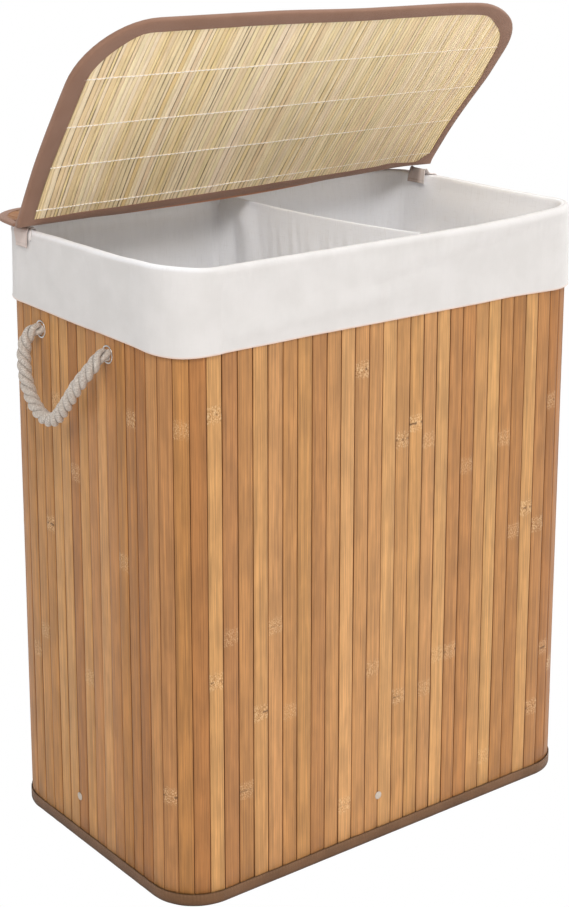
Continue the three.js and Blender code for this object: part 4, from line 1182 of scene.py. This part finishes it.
def straps():
    """Webbing that ties the fold of the lid over each side rim."""
    for name, sign in (("left", -1), ("right", 1)):
        node = f"{name}_hinge_strap"
        low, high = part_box(node)
        left, right = sign < 0, sign > 0
        middle = (low.y + high.y) / 2 + (8.8 if left else -3.8) * MM
        half = (high.y - low.y) / 2 + (0.3 if left else 1) * MM
        # The strap's path in (outward, up), in millimetres, between its outer and inner face
        top, foot = high.z / MM - (2.5 if left else 0.45), low.z / MM + 0.9
        o = max(abs(low.x), abs(high.x)) / MM - 0.45
        i = min(abs(low.x), abs(high.x)) / MM + (3.0 if left else 0.45)
        path = [(o + 0.7, foot), (o + 0.5, foot + 6), (o + 0.1, foot + 13), (o, top - 4)]
        if left:
            path += [(o - 0.9, top - 1.2), (o - 3, top), (i + 3, top), (i + 0.9, top - 1.2), (i, top - 4),
                     (i - 0.4, foot + 9), (i - 1.6, foot + 3), (i - 2.2, foot)]
        else:
            path += [(o - 0.6, top), (o - 3.4, top + 2.1), (i + 7, top + 2.5), (i + 3.6, top + 5.5),
                     (i + 1.6, top + 8.4), (i + 0.2, top + 8.2), (i - 0.8, top + 5), (i - 1.8, top),
                     (i - 3.2, top - 7.5)]
        line, run = catmull([(x * MM, 0, z * MM) for x, z in path], 8)
        normal = np.stack([np.gradient(line[:, 2]), 0 * run, -np.gradient(line[:, 0])], -1)
        normal /= np.linalg.norm(normal, axis=1)[:, None]
        builder = Builder()
        whole = line, normal, run
        # The webbing, and at the left the edge of its second ply: across from, to, depth
        for start, stop, sunk in [(-1.0, 1.0, 0.0), (-1.46, -1.2, -0.35)][:2 if left else 1]:
            first = int(np.searchsorted(whole[2], 8 * MM)) if sunk else 0
            line, normal, run = (part[first:] for part in whole)
            across = np.linspace(start, stop, 8 if sunk else 40)
            flare = 1 + 0.04 * ease(run, run[-1] - 14 * MM, run[-1]) * right
            wide = half * flare * (0.97 - 0.08 * peak(run - run[-1] * 0.62, 8 * MM))
            tail = 0 * across if sunk else np.clip((np.abs(across) - 0.55) / 0.45, 0, 1)
            curl = (1.3 if right else 0.8) * MM * tail ** 2
            ripple = 0.2 * MM * smooth_noise(across, 121, 4)[None, :] * np.sin(run / (6 * MM))[:, None]
            cup = curl[None, :] + ripple + sunk * MM
            taper = 4.5 * MM * (1 - ease(run, 2 * MM, 16 * MM)) * left
            drawn = 9 * MM * ease(run, 17 * MM, 24 * MM) * left
            points = line[:, None, :] + normal[:, None, :] * cup[..., None]
            points[..., 0] *= sign
            points[..., 1] = middle + wide[:, None] * across[None, :]
            points[..., 1] += drawn[:, None] * np.clip(-across, 0, 1) - taper[:, None] * np.clip(across, 0, 1)
            shape = points.shape[:2]
            from_end = np.minimum(run, run[-1] - run)
            # Stitch lines at the strap's ends; on the right strap the rear half also takes the stitching's dark tone
            # as painted shade.
            stitch_and_shade = 0.3 * peak(from_end - 3.2 * MM, 0.5 * MM) + 0.2 * peak(from_end, 0.5 * MM)
            stitch_and_shade = np.clip(stitch_and_shade[:, None] + 0.6 * ease(across, -0.45, 0.0) * right, 0, 1)
            # Painted light: the left strap's second ply and the front half of the right strap take the paler inner
            # tone.
            painted_light = 1 if sunk else 0.6 * ease(-across, 0.3, 0.6) * right
            weave, zone = spread(shape, across * half, run[:, None], 0), spread(shape, painted_light, stitch_and_shade, 0)
            builder.add(points, grid_faces(*shape), weave=weave, zone=zone)
        made = builder.build(f"{name}_strap", WEBBING)
        thicken(made, 0.9 * MM)
        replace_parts(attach(made, "body"), node)


def dress_cad():
    """Finishes for the CAD pieces that show as they are."""
    for node, obj in frame["nodes"].items():
        if not obj.hide_render:
            obj.data.materials.clear()
            obj.data.materials.append(WIRE if "wire" in node else BOARD if node == "base_board" else BACKING)


# Stage, camera and light

WHITE = 0xFFFFFF


def stage():
    """A pale floor and a pale studio: both are plain white to the camera alone."""
    floor = Shader(bpy.data.materials.new("pale_floor"))
    floor.surface.inputs["Base Color"].default_value = (0.92, 0.92, 0.92, 1)
    floor.set(Roughness=0.9)
    shown = floor.node("Emission", {"Color": WHITE, "Strength": 1.0})
    shown = floor.node("MixShader", {0: floor.node("LightPath"), 1: floor.surface.outputs[0], 2: shown})
    floor.put(floor.tree.nodes["Material Output"].inputs["Surface"], shown)
    size, drop = 6.0, 0.0004
    corner = [(-size, -size, -drop), (size, -size, -drop), (size, size, -drop), (-size, size, -drop)]
    new_object("floor", corner, [[0, 1, 2, 3]], floor.owner, smooth=False)
    world = Shader(bpy.data.worlds.new("studio"))
    scene.world = world.owner
    background = world.tree.nodes["Background"]
    background.inputs["Color"].default_value = (0.97, 0.98, 1.0, 1)
    background.inputs["Strength"].default_value = 0.40
    seen = world.node("Background", {"Color": WHITE, "Strength": 1.0})
    shown = world.node("MixShader", {0: world.node("LightPath"), 1: background.outputs[0], 2: seen})
    world.put(world.tree.nodes["World Output"].inputs["Surface"], shown)


def lamp(name, place, target_height, size, power, tint=(1, 1, 1)):
    """A round soft light, aimed at a height on the body's axis."""
    light = bpy.data.lights.new(name, "AREA")
    light.shape, light.size, light.energy, light.color = "DISK", size, power, tint
    made = bpy.data.objects.new(name, light)
    scene.collection.objects.link(made)
    made.location = place
    made.rotation_mode = "QUATERNION"
    made.rotation_quaternion = (Vector((0, 0, target_height)) - Vector(place)).to_track_quat("-Z", "Y")


def camera():
    """The photograph's camera, worked out from its perspective in pixels of its 569 x 907 frame."""
    focal, centre_row, rows = 1856.116, 300, 907
    data = bpy.data.cameras.new("camera")
    data.sensor_width, data.sensor_fit = 36.0, "AUTO"
    data.lens = focal / rows * data.sensor_width
    data.shift_y = (centre_row - rows / 2) / rows
    data.clip_start, data.clip_end = 0.05, 50
    made = bpy.data.objects.new("camera", data)
    scene.collection.objects.link(made)
    right, down, ahead = (0.79232, -0.61010, 0.00080), (-0.14016, -0.18330, -0.97301), (0.59379, 0.77083, -0.23075)
    turn = Matrix((right, [-c for c in down], [-c for c in ahead])).transposed()
    made.matrix_world = Matrix.Translation((-1.15130, -1.474863, 0.981601)) @ turn.to_4x4()
    scene.camera = made


wall_slats()
bottom_low, bottom_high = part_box("bottom_edge_tape")
edge_tape("bottom_tape", "bottom_edge_tape", bottom_low.z, bottom_high.z)
top_low, top_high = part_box("top_edge_tape")
edge_tape("top_tape", "top_edge_tape", top_high.z - 2 * MM, top_low.z)
liner_wrap()
divider_sheet()
floor_sheets()
for panel_name, panel_sizes in PANELS.items():
    panel_binding(panel_name, panel_sizes)
    panel_slats(panel_name, panel_sizes)
    panel_straw(panel_name, panel_sizes)
fold_cloth()
rope_handles()
fittings()
straps()
dress_cad()
stage()
lamp("key", (-1.5, -2.1, 2.75), 0.4, 1.0, 46, (1.0, 0.985, 0.97))
lamp("front", (0.9, -3.0, 1.15), 0.5, 1.4, 19.5, (1.0, 0.98, 0.96))
lamp("left", (-2.9, -0.3, 2.2), 0.4, 1.6, 18)
lamp("right", (2.2, -0.2, 2.6), 0.4, 1.6, 58)
lamp("rear", (0.0, 2.4, 2.4), 0.4, 1.8, 20)
camera()

scene.view_settings.view_transform = "Standard"
